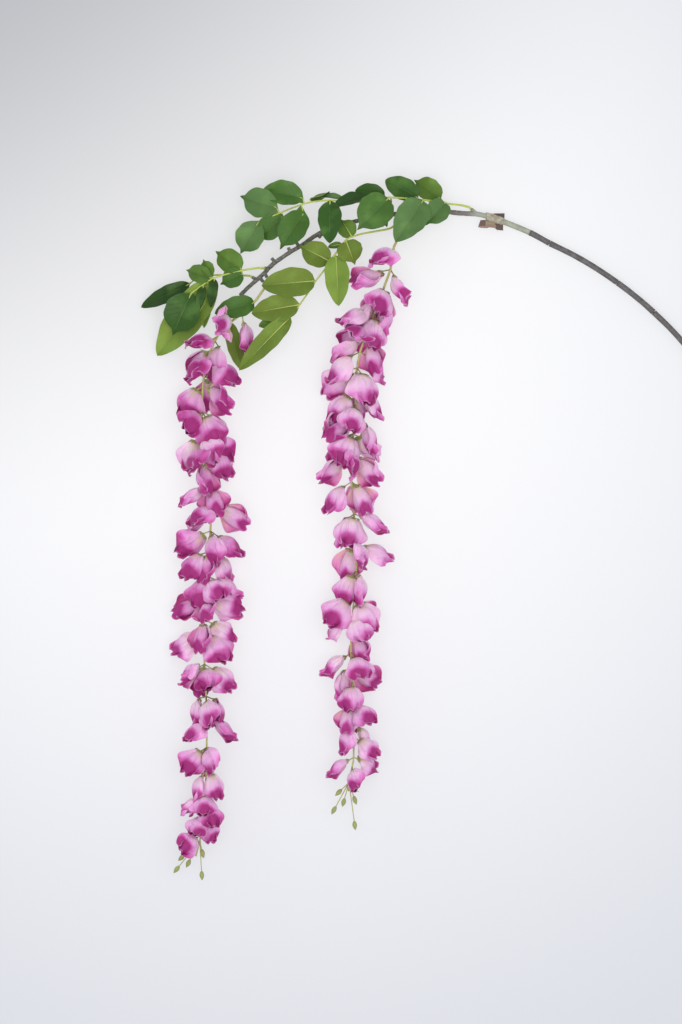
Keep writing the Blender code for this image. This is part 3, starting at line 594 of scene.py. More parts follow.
leafStalk = {"radii": (1.05, 0.75), "sides": 12, "tone": 0.02, "step": 4, "guideStep": 12,
             "collar": 0.25, "collarSpots": 3}

upperSpray = {
    "node": "leaf_spray_upper", "slot": "leaf_dark", "seat": "upper", "seed": 3, "backs": False,
    "stalk": (
        (-17, 6, 17), (-29, 7, 19.5), (-47, 9.5, 23), (-78, 11.5, 29), (-92, 11.5, 31),
        (-107, 9, 32.5), (-122, 6.5, 33), (-132, 7, 33), (-147, 8.5, 32.5), (-166, 7, 31.5),
        (-184, 1.5, 30), (-203.4, -6, 27.5), (-218, -11.6, 25.5),
    ),
    "leaflets": (
        ((-219, -13, 25), (-237, -43, 16), 30, 0, "grey"),
        ((-200, 2, 28), (-237, 14.4, 20), 31, -10, "grey"),
        ((-174, 11, 30), (-215, 20, 22), 27, 10, "mid"),
        ((-194, -6, 26), (-220, -30, 19), 26, 0, "mid"),
        ((-173, -4, 31), (-197, -40.7, 34), 30, 5, "mid"),
        ((-167, 10, 31), (-147, 18, 27), 12, 75, "dark"),
        ((-134, 10, 31), (-165, 12, 24), 12, 55, "grey"),
        ((-112, 12, 31), (-144, 1, 38), 17, 35, "deep"),
        ((-92, 13, 29), (-122, 20, 22), 20, 0, "dark"),
        ((-89, 10, 36), (-120, -22, 41), 37, 0, "mid"),
        ((-86, 9, 30), (-90.5, -18, 31), 12, 50, "dark"),
        ((-54, 9, 28), (-82, -33.5, 41), 34, 0, "grey"),
        ((-31, 8.5, 22), (-52, -16, 28), 25, 0, "grey"),
        ((-59, 12, 25), (-91.4, 31.5, 16), 24, 0, "dark"),
        ((-36, 12, 20), (-63, 32, 13), 24, 0, "bright"),
        ((-147, 7, 34), (-147.4, -35.4, 43), 25, 0, "dark"),
    ),
}
lowerSpray = {
    "node": "leaf_spray_lower", "slot": "leaf_pale", "seat": "lower", "seed": 5, "backs": True,
    "stalk": (
        (-79, -12, 26), (-86, -18.6, 29), (-100, -22, 31.5), (-115.3, -24.9, 33),
        (-129, -29.6, 34), (-133.5, -34.4, 34), (-140.2, -43, 34.5), (-149.5, -57, 35.5),
        (-161.5, -72.7, 36.5), (-168, -83, 37), (-178.2, -97.7, 38.5), (-182, -105, 39.5),
        (-192, -112.5, 41),
    ),
    "leaflets": (
        ((-186, -108, 40.5), (-237, -161.5, 46), 22, 0, "olive"),
        ((-178.2, -96, 38), (-225, -104.6, 38), 28, 0, "olive"),
        ((-190, -108, 39), (-218, -117, 35), 14, 0, "bright"),
        ((-161.5, -72, 36), (-215, -77, 38), 31, 0, "olive"),
        ((-147.6, -52, 34.5), (-178, -37, 36), 27, 0, "olive"),
        ((-141, -47, 34), (-138.4, -97.7, 44), 26, 0, "lime"),
        ((-131, -32, 34), (-122, -56, 36), 27, 0, "olive"),
        ((-125, -28, 33.5), (-136, -10, 31), 20, 0, "bright"),
        ((-135.4, -35, 34), (-149, -38, 33), 7, 0, "bright"),
    ),
}
leftSpray = {
    "node": "leaf_spray_left", "slot": "leaf_dark", "seat": "left", "seed": 7, "backs": False,
    "stalk": (
        (-219, -58.5, 30), (-235.6, -61.3, 31.5), (-250.3, -65, 33), (-262.3, -69, 34),
        (-272, -74.7, 34.5), (-286.2, -85, 34),
    ),
    "leaflets": (
        ((-235, -60, 31), (-261.5, -41.6, 26), 25, 0, "bright"),
        ((-234, -64, 31), (-256.5, -75, 28), 21, 0, "mid"),
        ((-265.4, -69, 34), (-291, -60, 27), 19, 0, "bright"),
        ((-265.4, -67, 33), (-273.4, -50, 30), 14, 0, "bright"),
        ((-273, -77, 34), (-278.2, -102, 37), 10, 0, "deep"),
        ((-286, -86, 33.5), (-304, -126, 30), 38, 0, "dark"),
        ((-262, -70, 34), (-265.4, -98.6, 39), 11, 0, "deep"),
        ((-268, -75, 32), (-273, -118, 25), 13, 0, "lime"),
        ((-262, -72, 30), (-321, -144.8, 11), 38, 0, "lime"),
    ),
}
sideSpray = {
    "node": "leaf_spray_side", "slot": "leaf_dark", "seat": "side", "seed": 9, "backs": False,
    "stalk": (
        (-230.4, -65, 18.5), (-254.3, -64.3, 16), (-265.4, -64.5, 15), (-284, -69.5, 14),
        (-288, -72.5, 13.5),
    ),
    "leaflets": (((-288, -73, 13.5), (-337.2, -96, 9), 18, 0, "deep"),),
}


def leafOutline(share, slender):
    # half width as a share of the widest: slender leaflets taper, broad ones are round with a short tip
    if slender:
        return share ** 0.5 * max(0.0, 1 - share) ** 0.7 / leaf["slenderPeak"]
    body = math.sqrt(max(0.0, 1 - ((share - leaf["bodyMiddle"]) / leaf["bodyReach"]) ** 2))
    return max(body, leaf["tipSlope"] * (1 - share) if share > 0.5 else 0.0)


def leaflet(blades, stalks, line, entry, backs, draw):
    base, tip, width, roll, shadeName = entry
    base, tip = Vector(base), Vector(tip)
    root = nearestOn(line, base)
    axis = tip - base
    along = axis.normalized()
    turn = Matrix.Rotation(math.radians(roll), 3, along)
    side = turn @ along.cross(Vector((0, 0, 1))).normalized()
    up = side.cross(along)
    fold = math.radians(leaf["fold"])
    phases = [draw.uniform(0, phaseRange) for _ in range(3)]
    waves = draw.uniform(*leaf["waves"])
    depth = leaf["wave"] * width / leaf["waveWidth"]
    slender = width < leaf["broad"] * axis.length

    def shape(across, share, lift=0.0):
        if share == 0:
            return root
        spread = abs(across) ** leaf["flat"]
        sideways = math.copysign(spread, across)
        half = max(leaf["neck"] * (1 - share) + leaf["end"], width / 2 * leafOutline(share, slender))
        phase = phases[0] + (2 if sideways > 0 else 0)      # the two edges aren't alike
        half *= 1 + leaf["uneven"] * math.sin(share * waves * leaf["unevenWaves"] + phase)
        height = half * spread * math.sin(fold)
        height += leaf["arch"] * axis.length * math.sin(math.pi * share)
        height += depth * spread ** 2 * math.sin(share * waves + phases[1 if sideways > 0 else 2])
        height -= math.exp(-(sideways * half / leaf["grooveWidth"]) ** 2) * leaf["groove"]
        out = half * sideways * math.cos(fold)
        return base + axis * share + side * out + up * (height + lift)

    shade = leafShades[shadeName] + draw.uniform(-leaf["shadeSpread"], leaf["shadeSpread"])
    other = leafShades["olive"] if shade < leaf["paleFrom"] else leafShades["mid"]
    join(blades, sheet(leaf["columns"], leaf["rows"], shape, leaf["thickness"], (shade, other)))
    # the neck runs on as a rib, raised on the pale side of the blade
    lift = leaf["ribOnBack"] if backs else leaf["ribUnder"]
    spots = [root, base] + [shape(0, k / 10, lift) for k in range(1, leaf["ribSpots"])]
    if (base - root).length < leaf["shortNeck"]:
        spots.pop(1)
    join(stalks, rod(spots, tapered(spots, *leaf["ribRadii"]), leaf["ribSides"], leaf["ribTone"]))


def buildSpray(name, spray):
    draw = random.Random(spray["seed"])
    points = seatLine(seats[spray["seat"]], spray["stalk"])
    line = smoothLine(points, leafStalk["guideStep"])
    fine = smoothLine(points, leafStalk["step"])
    blades, stalks = newShell(), newShell()
    radii = []
    for i, radius in enumerate(tapered(fine, *leafStalk["radii"])):
        radii.append(radius + leafStalk["collar"] * math.exp(-i / leafStalk["collarSpots"]))
    join(stalks, rod(fine, radii, leafStalk["sides"], leafStalk["tone"]))
    for entry in spray["leaflets"]:
        leaflet(blades, stalks, line, entry, spray["backs"], draw)
    addPiece(name + "Blades", blades, leafSatin, spray["node"])
    addPiece(name + "Stalk", stalks, stalkPolyethylene, spray["node"])


buildSpray("upper", upperSpray)
buildSpray("lower", lowerSpray)
buildSpray("left", leftSpray)
buildSpray("side", sideSpray)
print("leaf sprays made")


# racemes: a stalk, and tiers of florets as the distance below the fork and the florets' azimuths

petal = {
    "length": 29.0, "halfWidth": 20.0, "thickness": 0.45, "columns": 20, "rows": 13,
    "outline": (0.05, 0.8, 0.75),               # the stretch of a sine that its width follows
    "curl": 1.6, "unroll": 0.6,                 # radians it is rolled to each side, and lost at the rim
    "belly": 7, "droop": 3, "lip": 2.2, "lipFrom": 0.7,
    "looseFrom": 0.45, "ruffle": 1.3, "slant": 0.6, "scallop": 0.7, "scallops": 8,
    "notch": 0.06, "corners": 0.3,              # the rim's dip in the middle, and its short corners
    "crease": 2.0, "creaseWidth": 0.11, "lobe": 2.2, "lobeWidth": 0.13, "tuck": 6.0, "tuckFrom": 0.35,
}
lowerPetals = {
    "length": 1.08, "width": 11.0, "columns": 12, "rows": 9, "outline": (0.08, 0.7, 0.7),
    "curl": 1.5, "unroll": 0.35, "ruffle": 0.8, "ruffleWaves": 1.3,
    "keel": -7.5, "keelLine": (0.08, 0.72), "rise": 1.0, "notch": 0.14, "corners": 0.12,
    "tones": (0.3, 0.2),                        # how much deeper than the hood, inside and outside
}
sepals = {
    "length": 0.08, "width": 0.98, "columns": 10, "rows": 3, "thickness": 0.4, "tone": 0.5,
    "between": 0.45, "waves": 2.5, "off": 0.35, "flare": 0.5, "back": 0.8,
}
pedicel = {
    "sides": 8, "radii": (0.65, 0.6, 0.9), "cup": (2.1, 2.5), "cupPlaces": (-0.6, 1.2, 2.6), "knee": 0.7,
    "tone": 0.3, "toneSpread": 0.6,
}
# how florets stand on the stalk: a middle value and how far it varies, in degrees and millimetres
habit = {
    "azimuth": 14, "pedicelAngle": (60, 14), "tilt": (42, 30), "pedicel": (7.5, 2), "roll": 80,
    "turned": 0.25, "vary": (0.93, 1.08), "firstSize": 1.18, "sizeLoss": 0.32, "surface": 4,
}
# how a petal's shape varies
wiltRange = {
    "waves": (6, 10), "lip": (-0.5, 1.0), "fold": (0.35, 0.55), "tuck": (-0.4, 1.0), "patchSide": 1.2,
}
budShape = {
    "length": 9, "sides": 12, "tone": 0.55,
    "shares": (0.0, 0.08, 0.3, 0.5, 0.75, 0.93, 1.0), "radii": (0.9, 1.5, 2.25, 2.35, 1.6, 0.6, 0.2),
    "stalkRadii": (0.6, 0.5, 0.55, 1.2), "stalkSides": 8, "stalkTone": 0.35, "arch": 1.2,
}
racemeStalk = {"radii": (1.38, 0.8), "sides": 12, "tone": 0.25, "step": 22}
leftRaceme = {
    "node": "raceme_left", "seat": "leftRaceme", "seed": 11, "deepest": 0.95,
    "stalk": (
        (-210.5, -71.5, 26), (-213.3, -79.5, 27), (-220, -89.4, 28), (-230, -100.5, 28),
        (-243, -110, 28), (-255, -119, 28), (-263, -133, 28), (-271, -154, 28),
        (-275, -193, 28), (-274, -231, 28), (-268, -270, 28), (-266, -300, 28),
        (-267, -335, 28), (-272, -400, 28), (-273, -435, 28), (-270, -505, 28),
        (-271, -575, 28), (-273, -605, 28), (-277, -630, 27), (-281, -646, 26),
    ),
    "tiers": (
        (104, (355,)), (110, (95,)), (127, (115,)), (131, (30,)), (140, (250,)),
        (148, (30, 112)), (162, (290,)), (176, (40, 172)),
        (201, (0, 63, 118)), (224, (0, 76, 200)), (238, (340, 126)),
        (250, (100, 270)), (274, (70, 135)), (296, (0, 113, 225)), (321, (0, 70, 180)),
        (341, (355, 90, 142)), (366, (0, 75, 117)), (388, (3, 92, 200)), (409, (0, 96)),
        (423, (35, 180)), (454, (0, 80, 120, 235)), (486, (35, 98, 180)), (508, (15, 116)),
        (537, (78, 136, 250)), (561, (25, 137)), (582, (87, 176)), (590, (55, 240)),
        (605, (15, 98)), (624, (126,)),
    ),
    "buds": ((-274, -643, 30), (-300.5, -659.5, 25), (-289, -654, 22), (-275, -665.5, 26),
             (-296, -648.5, 20)),
    "bracts": (
        ((-222, -93, 29), (-262, -104, 31), 23, 0, "mid"),
        ((-248, -112, 26), (-236, -159, 5), 17, 0, "olive"),
    ),
}
rightRaceme = {
    "node": "raceme_right", "seat": "rightRaceme", "seed": 23, "deepest": 0.42,
    "stalk": (
        (-63, -10.5, 22), (-67, -15, 23), (-73, -22, 25), (-79.5, -30, 27), (-83, -37, 28),
        (-85, -48, 28.5), (-86.5, -60, 28), (-91, -72, 28), (-99, -95, 28), (-109, -120, 28),
        (-117, -142, 28), (-121, -165, 28), (-121.5, -200, 28), (-126, -260, 28),
        (-121, -330, 28), (-121, -365, 28), (-126, -430, 28), (-124, -490, 28),
        (-123, -525, 28), (-123.5, -550, 28), (-128, -572, 27), (-128.5, -581, 26),
    ),
    "tiers": (
        (42, (104,)), (60, (30, 152)), (78, (80, 270)), (90, (15, 185)), (104, (65, 140)),
        (119, (100, 240)), (130, (20, 175)), (142, (150, 320)), (158, (60, 205)),
        (180, (0, 165, 270)), (195, (90, 190)), (208, (10, 150)), (224, (332, 110, 200)),
        (247, (10, 92, 162)), (272, (28, 160, 270)), (304, (20, 108, 182)),
        (334, (350, 62, 220)), (361, (60, 140, 240)), (389, (45, 150, 290)), (406, (80, 220)),
        (423, (30,)), (442, (50, 172)), (458, (190, 330)), (472, (95,)), (494, (40, 107, 250)),
        (514, (150, 310)), (526, (10,)), (547, (165, 340)), (557, (90,)),
    ),
    "buds": ((-138.5, -582, 30), (-143.3, -600.5, 24), (-133.5, -593, 21),
             (-122, -590, 28), (-122.2, -615.4, 26)),
    "bracts": (),
}


def pointAt(line, below):
    # the spot at a distance below the fork, and the stalk's way there
    for a, b in zip(line, line[1:]):
        if a.y >= -below > b.y:
            share = (a.y + below) / (a.y - b.y)
            return a.lerp(b, share), (b - a).normalized()
    return line[-1], (line[-1] - line[-2]).normalized()


def halfAt(widest, along, outline):
    start, share, fullness = outline
    return widest * math.sin(math.pi * (start + share * along)) ** fullness


def riseFrom(start, along):
    # 0 up to the start, then evenly up to 1
    return max(0.0, (along - start) / (1 - start))


def hoodSpot(across, along, size, wilt):
    # a point of the hooded petal, back to +Z and mouth to -Z, with how far round it is curled
    length = petal["length"] * size
    half = halfAt(petal["halfWidth"] * size, along, petal["outline"])
    curl = petal["curl"] - petal["unroll"] * along
    flat = half / curl
    loose = riseFrom(petal["looseFrom"], max(along, abs(across))) ** 1.5
    frill = math.sin(across * wilt["waves"] + wilt["phase"])
    frill += petal["slant"] * math.sin(along * 7 + across * 5 + wilt["turn"])
    fromFold = abs(across) - wilt["fold"]
    reach = length * along * (1 - petal["corners"] * across * across * along)
    reach -= petal["notch"] * length * along * max(0.0, 1 - abs(across) * 2)
    reach += petal["scallop"] * size * loose * math.sin(across * petal["scallops"] + wilt["turn"])
    reach -= petal["lobe"] * size * along ** 3 * math.exp(-(fromFold / petal["lobeWidth"]) ** 2)
    rise = petal["belly"] * size * math.sin(math.pi * along ** 0.85)
    rise -= petal["droop"] * size * along * along
    rise += wilt["lip"] * size * riseFrom(petal["lipFrom"], along) ** 2
    groove = math.exp(-(fromFold / petal["creaseWidth"]) ** 2) * math.sin(math.pi * along)
    corner = max(0.0, across * wilt["side"]) ** 2 * riseFrom(petal["tuckFrom"], along) ** 1.5
    radius = flat + petal["ruffle"] * size * loose * frill - petal["crease"] * size * groove
    radius -= petal["tuck"] * size * wilt["tuck"] * corner
    angle = across * curl
    drop = (radius * math.cos(angle) - flat) * min(1, along * 4)
    return Vector((radius * math.sin(angle), reach, drop + rise)), angle


def lowerSpot(across, along, size, wilt):
    # a point of the two lower petals, joined in a boat that opens to the hood
    reach = petal["length"] * size * lowerPetals["length"]
    half = halfAt(lowerPetals["width"] * size, along, lowerPetals["outline"])
    curl = lowerPetals["curl"] - lowerPetals["unroll"] * along
    flat = half / curl
    ruffle = math.sin(across * wilt["waves"] * lowerPetals["ruffleWaves"] + wilt["turn"])
    radius = flat + lowerPetals["ruffle"] * along * ruffle
    start, share = lowerPetals["keelLine"]
    keel = lowerPetals["keel"] * size * math.sin(math.pi * min(1.0, start + share * along))
    keel += lowerPetals["rise"] * size
    notch = lowerPetals["notch"] * reach * along * max(0.0, 1 - abs(across) * 2.5)
    y = reach * along * (1 - lowerPetals["corners"] * across * across) - notch
    z = keel * min(1, along * 5) + (flat - radius * math.cos(across * curl)) * min(1, along * 4)
    return Vector((radius * math.sin(across * curl), y, z))


def sepalSpot(across, along, size, wilt):
    # a point of the sepals, which hug the foot of the hood
    lobe = sepals["between"] + (1 - sepals["between"]) * abs(math.cos(across * sepals["waves"] * math.pi))
    spot, angle = hoodSpot(across * sepals["width"], sepals["length"] * along * lobe, size, wilt)
    off = (sepals["off"] + sepals["flare"] * along) * size
    back = sepals["back"] * size * (1 - along)
    return spot + Vector((math.sin(angle) * off, -back, math.cos(angle) * off))


def pressUp(parts, root):
    # a floret that hangs to the surface is pressed up to it
    lowest = min(vert.co.z for _, bm in parts for vert in bm.verts)
    if lowest >= habit["surface"]:
        return
    squeeze = root.z / (root.z - lowest)
    for _, bm in parts:
        for vert in bm.verts:
            if vert.co.z < root.z:
                vert.co.z = root.z + (vert.co.z - root.z) * squeeze


def varied(draw, middle, reach):
    return middle + draw.uniform(-reach, reach)


def floret(petals, greens, line, below, azimuth, size, draw, vary, deepest):
    root, along = pointAt(line, below)
    right = Vector((1, 0, 0))
    right = (right - along * right.dot(along)).normalized()
    turn = math.radians(varied(draw, azimuth, habit["azimuth"]))
    outward = right * math.cos(turn) + along.cross(right) * math.sin(turn)
    angle = math.radians(varied(draw, *habit["pedicelAngle"]))
    way = outward * math.sin(angle) + along * math.cos(angle)
    tilt = math.radians(varied(draw, *habit["tilt"]))
    axis = outward * math.sin(tilt) + along * math.cos(tilt)
    length = varied(draw, *habit["pedicel"]) * size
    roll = draw.uniform(-habit["roll"], habit["roll"])
    roll += 180 if draw.random() < habit["turned"] else 0
    size *= draw.uniform(*habit["vary"])
    start = root + way * length
    back = outward * math.cos(tilt) - along * math.sin(tilt)
    back = Matrix.Rotation(math.radians(roll), 3, axis) @ back
    place = Matrix.Translation(start) @ Matrix((axis.cross(back), axis, back)).transposed().to_4x4()
    wilt = {
        "waves": vary.uniform(*wiltRange["waves"]),
        "phase": vary.uniform(0, phaseRange),
        "turn": vary.uniform(0, phaseRange),
        "lip": vary.uniform(*wiltRange["lip"]) * petal["lip"],
        "fold": vary.uniform(*wiltRange["fold"]),
        "side": vary.choice((-1, 1)),
        "tuck": vary.uniform(*wiltRange["tuck"]),
    }
    tone = vary.random() * deepest
    patchSide = vary.uniform(-wiltRange["patchSide"], wiltRange["patchSide"])

    def hood(across, share):
        return place @ hoodSpot(across, share, size, wilt)[0]

    def wings(across, share):
        return place @ lowerSpot(across, share, size, wilt)

    def cap(across, share):
        return place @ sepalSpot(across, share, size, wilt)

    inner, outer = [min(1, tone + deeper) for deeper in lowerPetals["tones"]]
    stalkTone = pedicel["tone"] + pedicel["toneSpread"] * vary.random() ** 2
    spots = [root, root.lerp(start, pedicel["knee"])]
    spots += [start + axis * spot * size for spot in pedicel["cupPlaces"]]
    radii = [*pedicel["radii"], *[radius * size for radius in pedicel["cup"]]]
    parts = [
        (petals, sheet(petal["columns"], petal["rows"], hood, petal["thickness"], (tone, tone),
                       lean=patchSide)),
        (petals, sheet(lowerPetals["columns"], lowerPetals["rows"], wings, petal["thickness"],
                       (inner, outer), (1.0, 0.0))),
        (greens, sheet(sepals["columns"], sepals["rows"], cap, sepals["thickness"],
                       (sepals["tone"], sepals["tone"]))),
        (greens, rod(spots, radii, pedicel["sides"], stalkTone)),
    ]
    pressUp(parts, root)
    for shell, bm in parts:
        join(shell, bm)


def bud(greens, line, place):
    tip = Vector(place)
    root = line[-2]
    way = (tip - root).normalized()
    neck = tip - way * (budShape["length"] / 2)
    knee = root.lerp(neck, 0.5) + Vector((0, 0, budShape["arch"]))
    join(greens, rod([root, knee, neck, neck + way], budShape["stalkRadii"], budShape["stalkSides"],
                     budShape["stalkTone"]))
    spots = [neck + way * budShape["length"] * share for share in budShape["shares"]]
    join(greens, rod(spots, budShape["radii"], budShape["sides"], budShape["tone"]))


def buildRaceme(name, raceme):
    line = smoothLine(seatLine(seats[raceme["seat"]], raceme["stalk"]), racemeStalk["step"])
    draw = random.Random(raceme["seed"])
    vary = random.Random(raceme["seed"] + 100)      # for finer details, which leave the first one alone
    petals, greens = newShell(), newShell()
    radii = tapered(line, *racemeStalk["radii"])
    join(greens, rod(line, radii, racemeStalk["sides"], racemeStalk["tone"]))
    for number, (below, azimuths) in enumerate(raceme["tiers"]):
        # florets are smaller towards the tip
        size = habit["firstSize"] - habit["sizeLoss"] * (number / len(raceme["tiers"])) ** 2
        for azimuth in azimuths:
            floret(petals, greens, line, below, azimuth, size, draw, vary, raceme["deepest"])
    for place in raceme["buds"]:
        bud(greens, line, place)
    if raceme["bracts"]:
        bracts = newShell()
        for entry in raceme["bracts"]:
            leaflet(bracts, greens, line, entry, False, vary)
        addPiece(name + "Bracts", bracts, leafSatin, raceme["node"])
    addPiece(name + "Petals", petals, petalSatin, raceme["node"])
    addPiece(name + "Greens", greens, stalkPolyethylene, raceme["node"])


buildRaceme("left", leftRaceme)
print("left raceme made")
buildRaceme("right", rightRaceme)
print("right raceme made")


# the tape at the fork: wraps, a torn tail and a lifted end

tape = {
    "shares": (0.77, 0.86),     # how far the wraps reach from the fork, of a stretch of the spine
    "inner": 3.35, "wall": 0.8, "step": 0.9, "sides": 40, "wrapPitch": 6.5, "wrapStep": 0.45,
    "skin": 0.3,                # how deep the outside of the wraps is
    "wrapTone": 0.03, "wrapToneSpread": 0.15, "wrapGrain": 0.3,
    "level": 11.5, "sheet": 0.35, "columns": 28, "rows": 8,
    "crumple": 0.5, "crumpleGrain": 0.5, "torn": 0.5, "tornGrain": 23,
    "tailTop": ((4.2, -8.6), (10.4, -8.2), (18, -9.8), (27, -12.2)),
    "tailEnd": ((1.8, -15.6), (4.5, -16.4), (11, -16.6), (13, -15.6), (18, -16.4), (21, -18.4),
                (27, -19)),
    "tailDrop": -0.8, "tailDroop": 0.3,
    "flapTop": ((14.5, -2.6), (18.5, -1.9), (28.4, -1.8)),
    "flapEnd": ((14.8, -3.4), (22, -6.0), (28.2, -11)),
    "flapRise": 0.6, "flapDroop": 0.2, "flapTone": 0.95,
    # the tail is dark past its fold, brown along its edge, and between them carries a painted shadow on
    # one half and is pale on the other
    "foldAt": 19.5, "foldTone": 0.85, "edgeAt": -14.4, "edgeTone": 0.3,
    "halfAt": 9.5, "shadowAndPaleTones": (0.72, 0.12),
}


def along2d(points, share):
    # the spot at a share of the way through the points
    place = min(max(share, 0.0), 0.9999) * (len(points) - 1)
    k = int(place)
    return Vector(points[k]).lerp(Vector(points[k + 1]), place - k)


def tapeSheet(top, end, level, droop, tone):
    bm = newShell()
    layer = bm.faces.layers.float["tone"]
    bmesh.ops.create_grid(bm, x_segments=tape["columns"], y_segments=tape["rows"], size=1, calc_uvs=True)
    for vert in bm.verts:
        share, down = (vert.co.x + 1) / 2, (1 - vert.co.y) / 2
        spot = along2d(top, share).lerp(along2d(end, share), down)
        grain = Vector((spot.x * tape["crumpleGrain"], spot.y * tape["crumpleGrain"], level))
        crumple = tape["crumple"] * noise.noise(grain) * (0.3 + down)
        torn = tape["torn"] * noise.noise(Vector((share * tape["tornGrain"], level, 3.0))) * down ** 2
        vert.co = Vector((spot.x, spot.y + torn, level + droop * down + crumple))
    for face in bm.faces:
        face[layer] = tone(face.calc_center_median())
    grown = bmesh.ops.extrude_face_region(bm, geom=bm.faces[:])["geom"]
    bmesh.ops.translate(bm, vec=(0, 0, tape["sheet"]),
                        verts=[item for item in grown if isinstance(item, bmesh.types.BMVert)])
    bmesh.ops.recalc_face_normals(bm, faces=bm.faces[:])
    return bm


def tailTone(spot):
    if spot.x > tape["foldAt"]:
        return tape["foldTone"]
    if spot.y < tape["edgeAt"]:
        return tape["edgeTone"]
    # a painted shadow on the half nearer the fork, pale beyond
    return tape["shadowAndPaleTones"][0] if spot.x < tape["halfAt"] else tape["shadowAndPaleTones"][1]


def flapTone(spot):
    return tape["flapTone"]


def buildTape():
    before, joint, following = [Vector(point) for point in spine[stem["joint"] - 1:stem["joint"] + 2]]
    ends = [before.lerp(joint, tape["shares"][0]), joint, joint.lerp(following, tape["shares"][1])]
    line = smoothLine(ends, tape["step"])
    outer = tape["inner"] + tape["wall"]
    shell = newShell()
    wraps = tube(line, [outer] * len(line), tape["wall"], tape["sides"])
    # the outside steps down from wrap to wrap
    for vert in wraps.verts:
        out = vert.co - nearestOn(line, vert.co)
        if out.length > outer - tape["skin"]:
            angle = math.atan2(out.z, out.y) / (2 * math.pi)
            turnNumber = (vert.co - line[0]).length / tape["wrapPitch"] + angle
            vert.co -= out.normalized() * tape["wrapStep"] * (turnNumber % 1.0)
    layer = wraps.faces.layers.float["tone"]
    for face in wraps.faces:
        mottle = noise.noise(face.calc_center_median() * tape["wrapGrain"])
        face[layer] = tape["wrapTone"] + tape["wrapToneSpread"] * mottle
    join(shell, wraps)
    join(shell, tapeSheet(tape["tailTop"], tape["tailEnd"], tape["level"] + tape["tailDrop"],
                          tape["tailDroop"], tailTone))
    join(shell, tapeSheet(tape["flapTop"], tape["flapEnd"], tape["level"] + tape["flapRise"],
                          tape["flapDroop"], flapTone))
    addPiece("tapeWraps", shell, tapePaper, "binding_tape")


buildTape()
print("tape made")


# floor, light and camera

studio = {
    "middle": (-0.136, -0.302, 0.03),       # what the camera looks at, in metres from the fork
    "floorHalf": 4, "floorLevel": -0.0003,
    # the floor glows with painted light, and painted shade darkens it away from the brightest spot and
    # towards the darkest
    "glow": 0.65, "glowColour": "#fbfbfc", "paper": "#949495", "paperShadedAway": "#8f929c",
    "brightest": (-0.2, 0.2, 0.0), "darkest": (-0.55, 0.75, 0.0), "awayGlowLoss": -0.36, "cornerGlowLoss": -0.56,
    "world": 0.8, "worldColour": "#f6f7fa",
    "keyPower": 8.5, "keySize": 1.0, "keyPlace": (0.05, -0.05, 1.3), "keyColour": "#ffffff",
    "fillPower": 3.0, "fillSize": 1.2, "fillPlace": (-1.3, 0.9, 1.1), "fillColour": "#f8faff",
    "sensor": 36, "lens": 84.4,             # one millimetre to a pixel from 2.4 m above the spray
    "cameraHeight": 2.425,
}


def addLight(name, power, size, place, aim, colour):
    light = bpy.data.lights.new(name, "AREA")
    light.energy = power
    light.size = size
    light.color = linear(colour)[:3]
    lamp = bpy.data.objects.new(name, light)
    lamp.matrix_world = Matrix.Translation(place) @ (
        Vector(place) - Vector(aim)).to_track_quat("Z", "Y").to_matrix().to_4x4()
    bpy.context.scene.collection.objects.link(lamp)


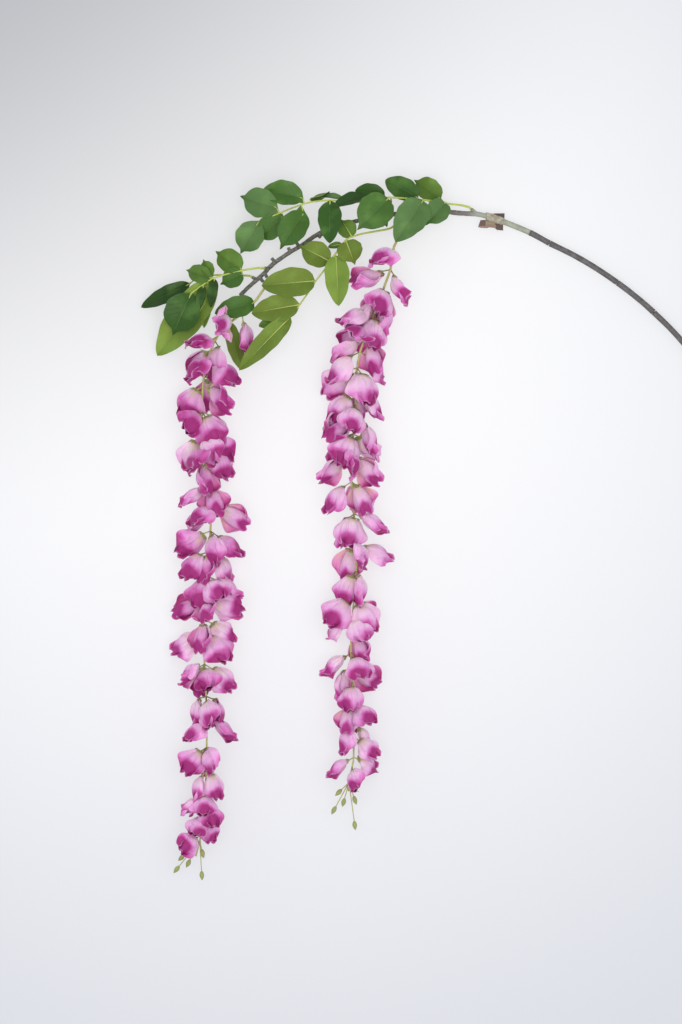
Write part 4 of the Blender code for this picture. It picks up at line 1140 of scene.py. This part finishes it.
def makeGlowingFloor():
    # Background paper that glows, a painted light which washes out shadows: plain and pale, with
    # painted shade that makes it a little darker and cooler away from the middle, and darkest in one
    # corner.
    material = newMaterial("floorPaperGlow", {"Roughness": 0.9,
                                          "Emission Color": linear(studio["glowColour"])})
    spot = addNode(material, "TexCoord").outputs["Object"]
    away = addNode(material, "VectorMath", {"operation": "DISTANCE"}, {0: spot, 1: studio["brightest"]})
    fade = addNode(material, "MapRange", {"interpolation_type": "SMOOTHSTEP"},
                   {0: away.outputs["Value"], 1: 0.1, 2: 0.9, 3: 0.0, 4: 1.0})
    corner = addNode(material, "VectorMath", {"operation": "DISTANCE"}, {0: spot, 1: studio["darkest"]})
    dim = addNode(material, "MapRange", {"interpolation_type": "SMOOTHSTEP"},
                  {0: corner.outputs["Value"], 1: 0.2, 2: 0.8, 3: studio["cornerGlowLoss"], 4: 0.0})
    glow = addNode(material, "Math", {"operation": "MULTIPLY_ADD"},
                   {0: fade, 1: studio["awayGlowLoss"], 2: 1.0})
    glow = addNode(material, "Math", {"operation": "ADD"}, {0: glow, 1: dim})
    glow = addNode(material, "Math", {"operation": "MULTIPLY"}, {0: glow, 1: studio["glow"]})
    colour = addNode(material, "ValToRGB", inputs={0: fade},
                     stops=((0.0, studio["paper"]), (1.0, studio["paperShadedAway"])))
    shader = material.node_tree.nodes["Principled BSDF"]
    material.node_tree.links.new(glow.outputs[0], shader.inputs["Emission Strength"])
    return finish(material, colour)


def buildFloor():
    bm = bmesh.new()
    bmesh.ops.create_grid(bm, x_segments=1, y_segments=1, size=studio["floorHalf"])
    bmesh.ops.translate(bm, verts=bm.verts[:], vec=(0, 0, studio["floorLevel"]))
    mesh = bpy.data.meshes.new("floor")
    bm.to_mesh(mesh)
    bm.free()
    mesh.materials.append(makeGlowingFloor())
    floor = bpy.data.objects.new("floor", mesh)
    bpy.context.scene.collection.objects.link(floor)


def buildLight(middle):
    world = bpy.data.worlds.new("studio")
    world.use_nodes = True
    background = world.node_tree.nodes["Background"]
    background.inputs["Color"].default_value = linear(studio["worldColour"])
    background.inputs["Strength"].default_value = studio["world"]
    bpy.context.scene.world = world
    bpy.context.scene.view_settings.view_transform = "Standard"
    x, y, height = studio["keyPlace"]
    addLight("key", studio["keyPower"], studio["keySize"], (middle[0] + x, middle[1] + y, height), middle,
             studio["keyColour"])
    addLight("fill", studio["fillPower"], studio["fillSize"], studio["fillPlace"], middle,
             studio["fillColour"])


def buildCamera(middle):
    camera = bpy.data.cameras.new("camera")
    camera.sensor_width = studio["sensor"]
    camera.lens = studio["lens"]
    camera.clip_end = 20
    view = bpy.data.objects.new("camera", camera)
    view.location = (middle[0], middle[1], studio["cameraHeight"])
    bpy.context.scene.collection.objects.link(view)
    bpy.context.scene.camera = view


def buildStudio():
    x, y, height = studio["middle"]
    middle = (forkPlace.x / 1000 + x, forkPlace.y / 1000 + y, height)
    buildFloor()
    buildLight(middle)
    buildCamera(middle)


buildStudio()
print("studio made")
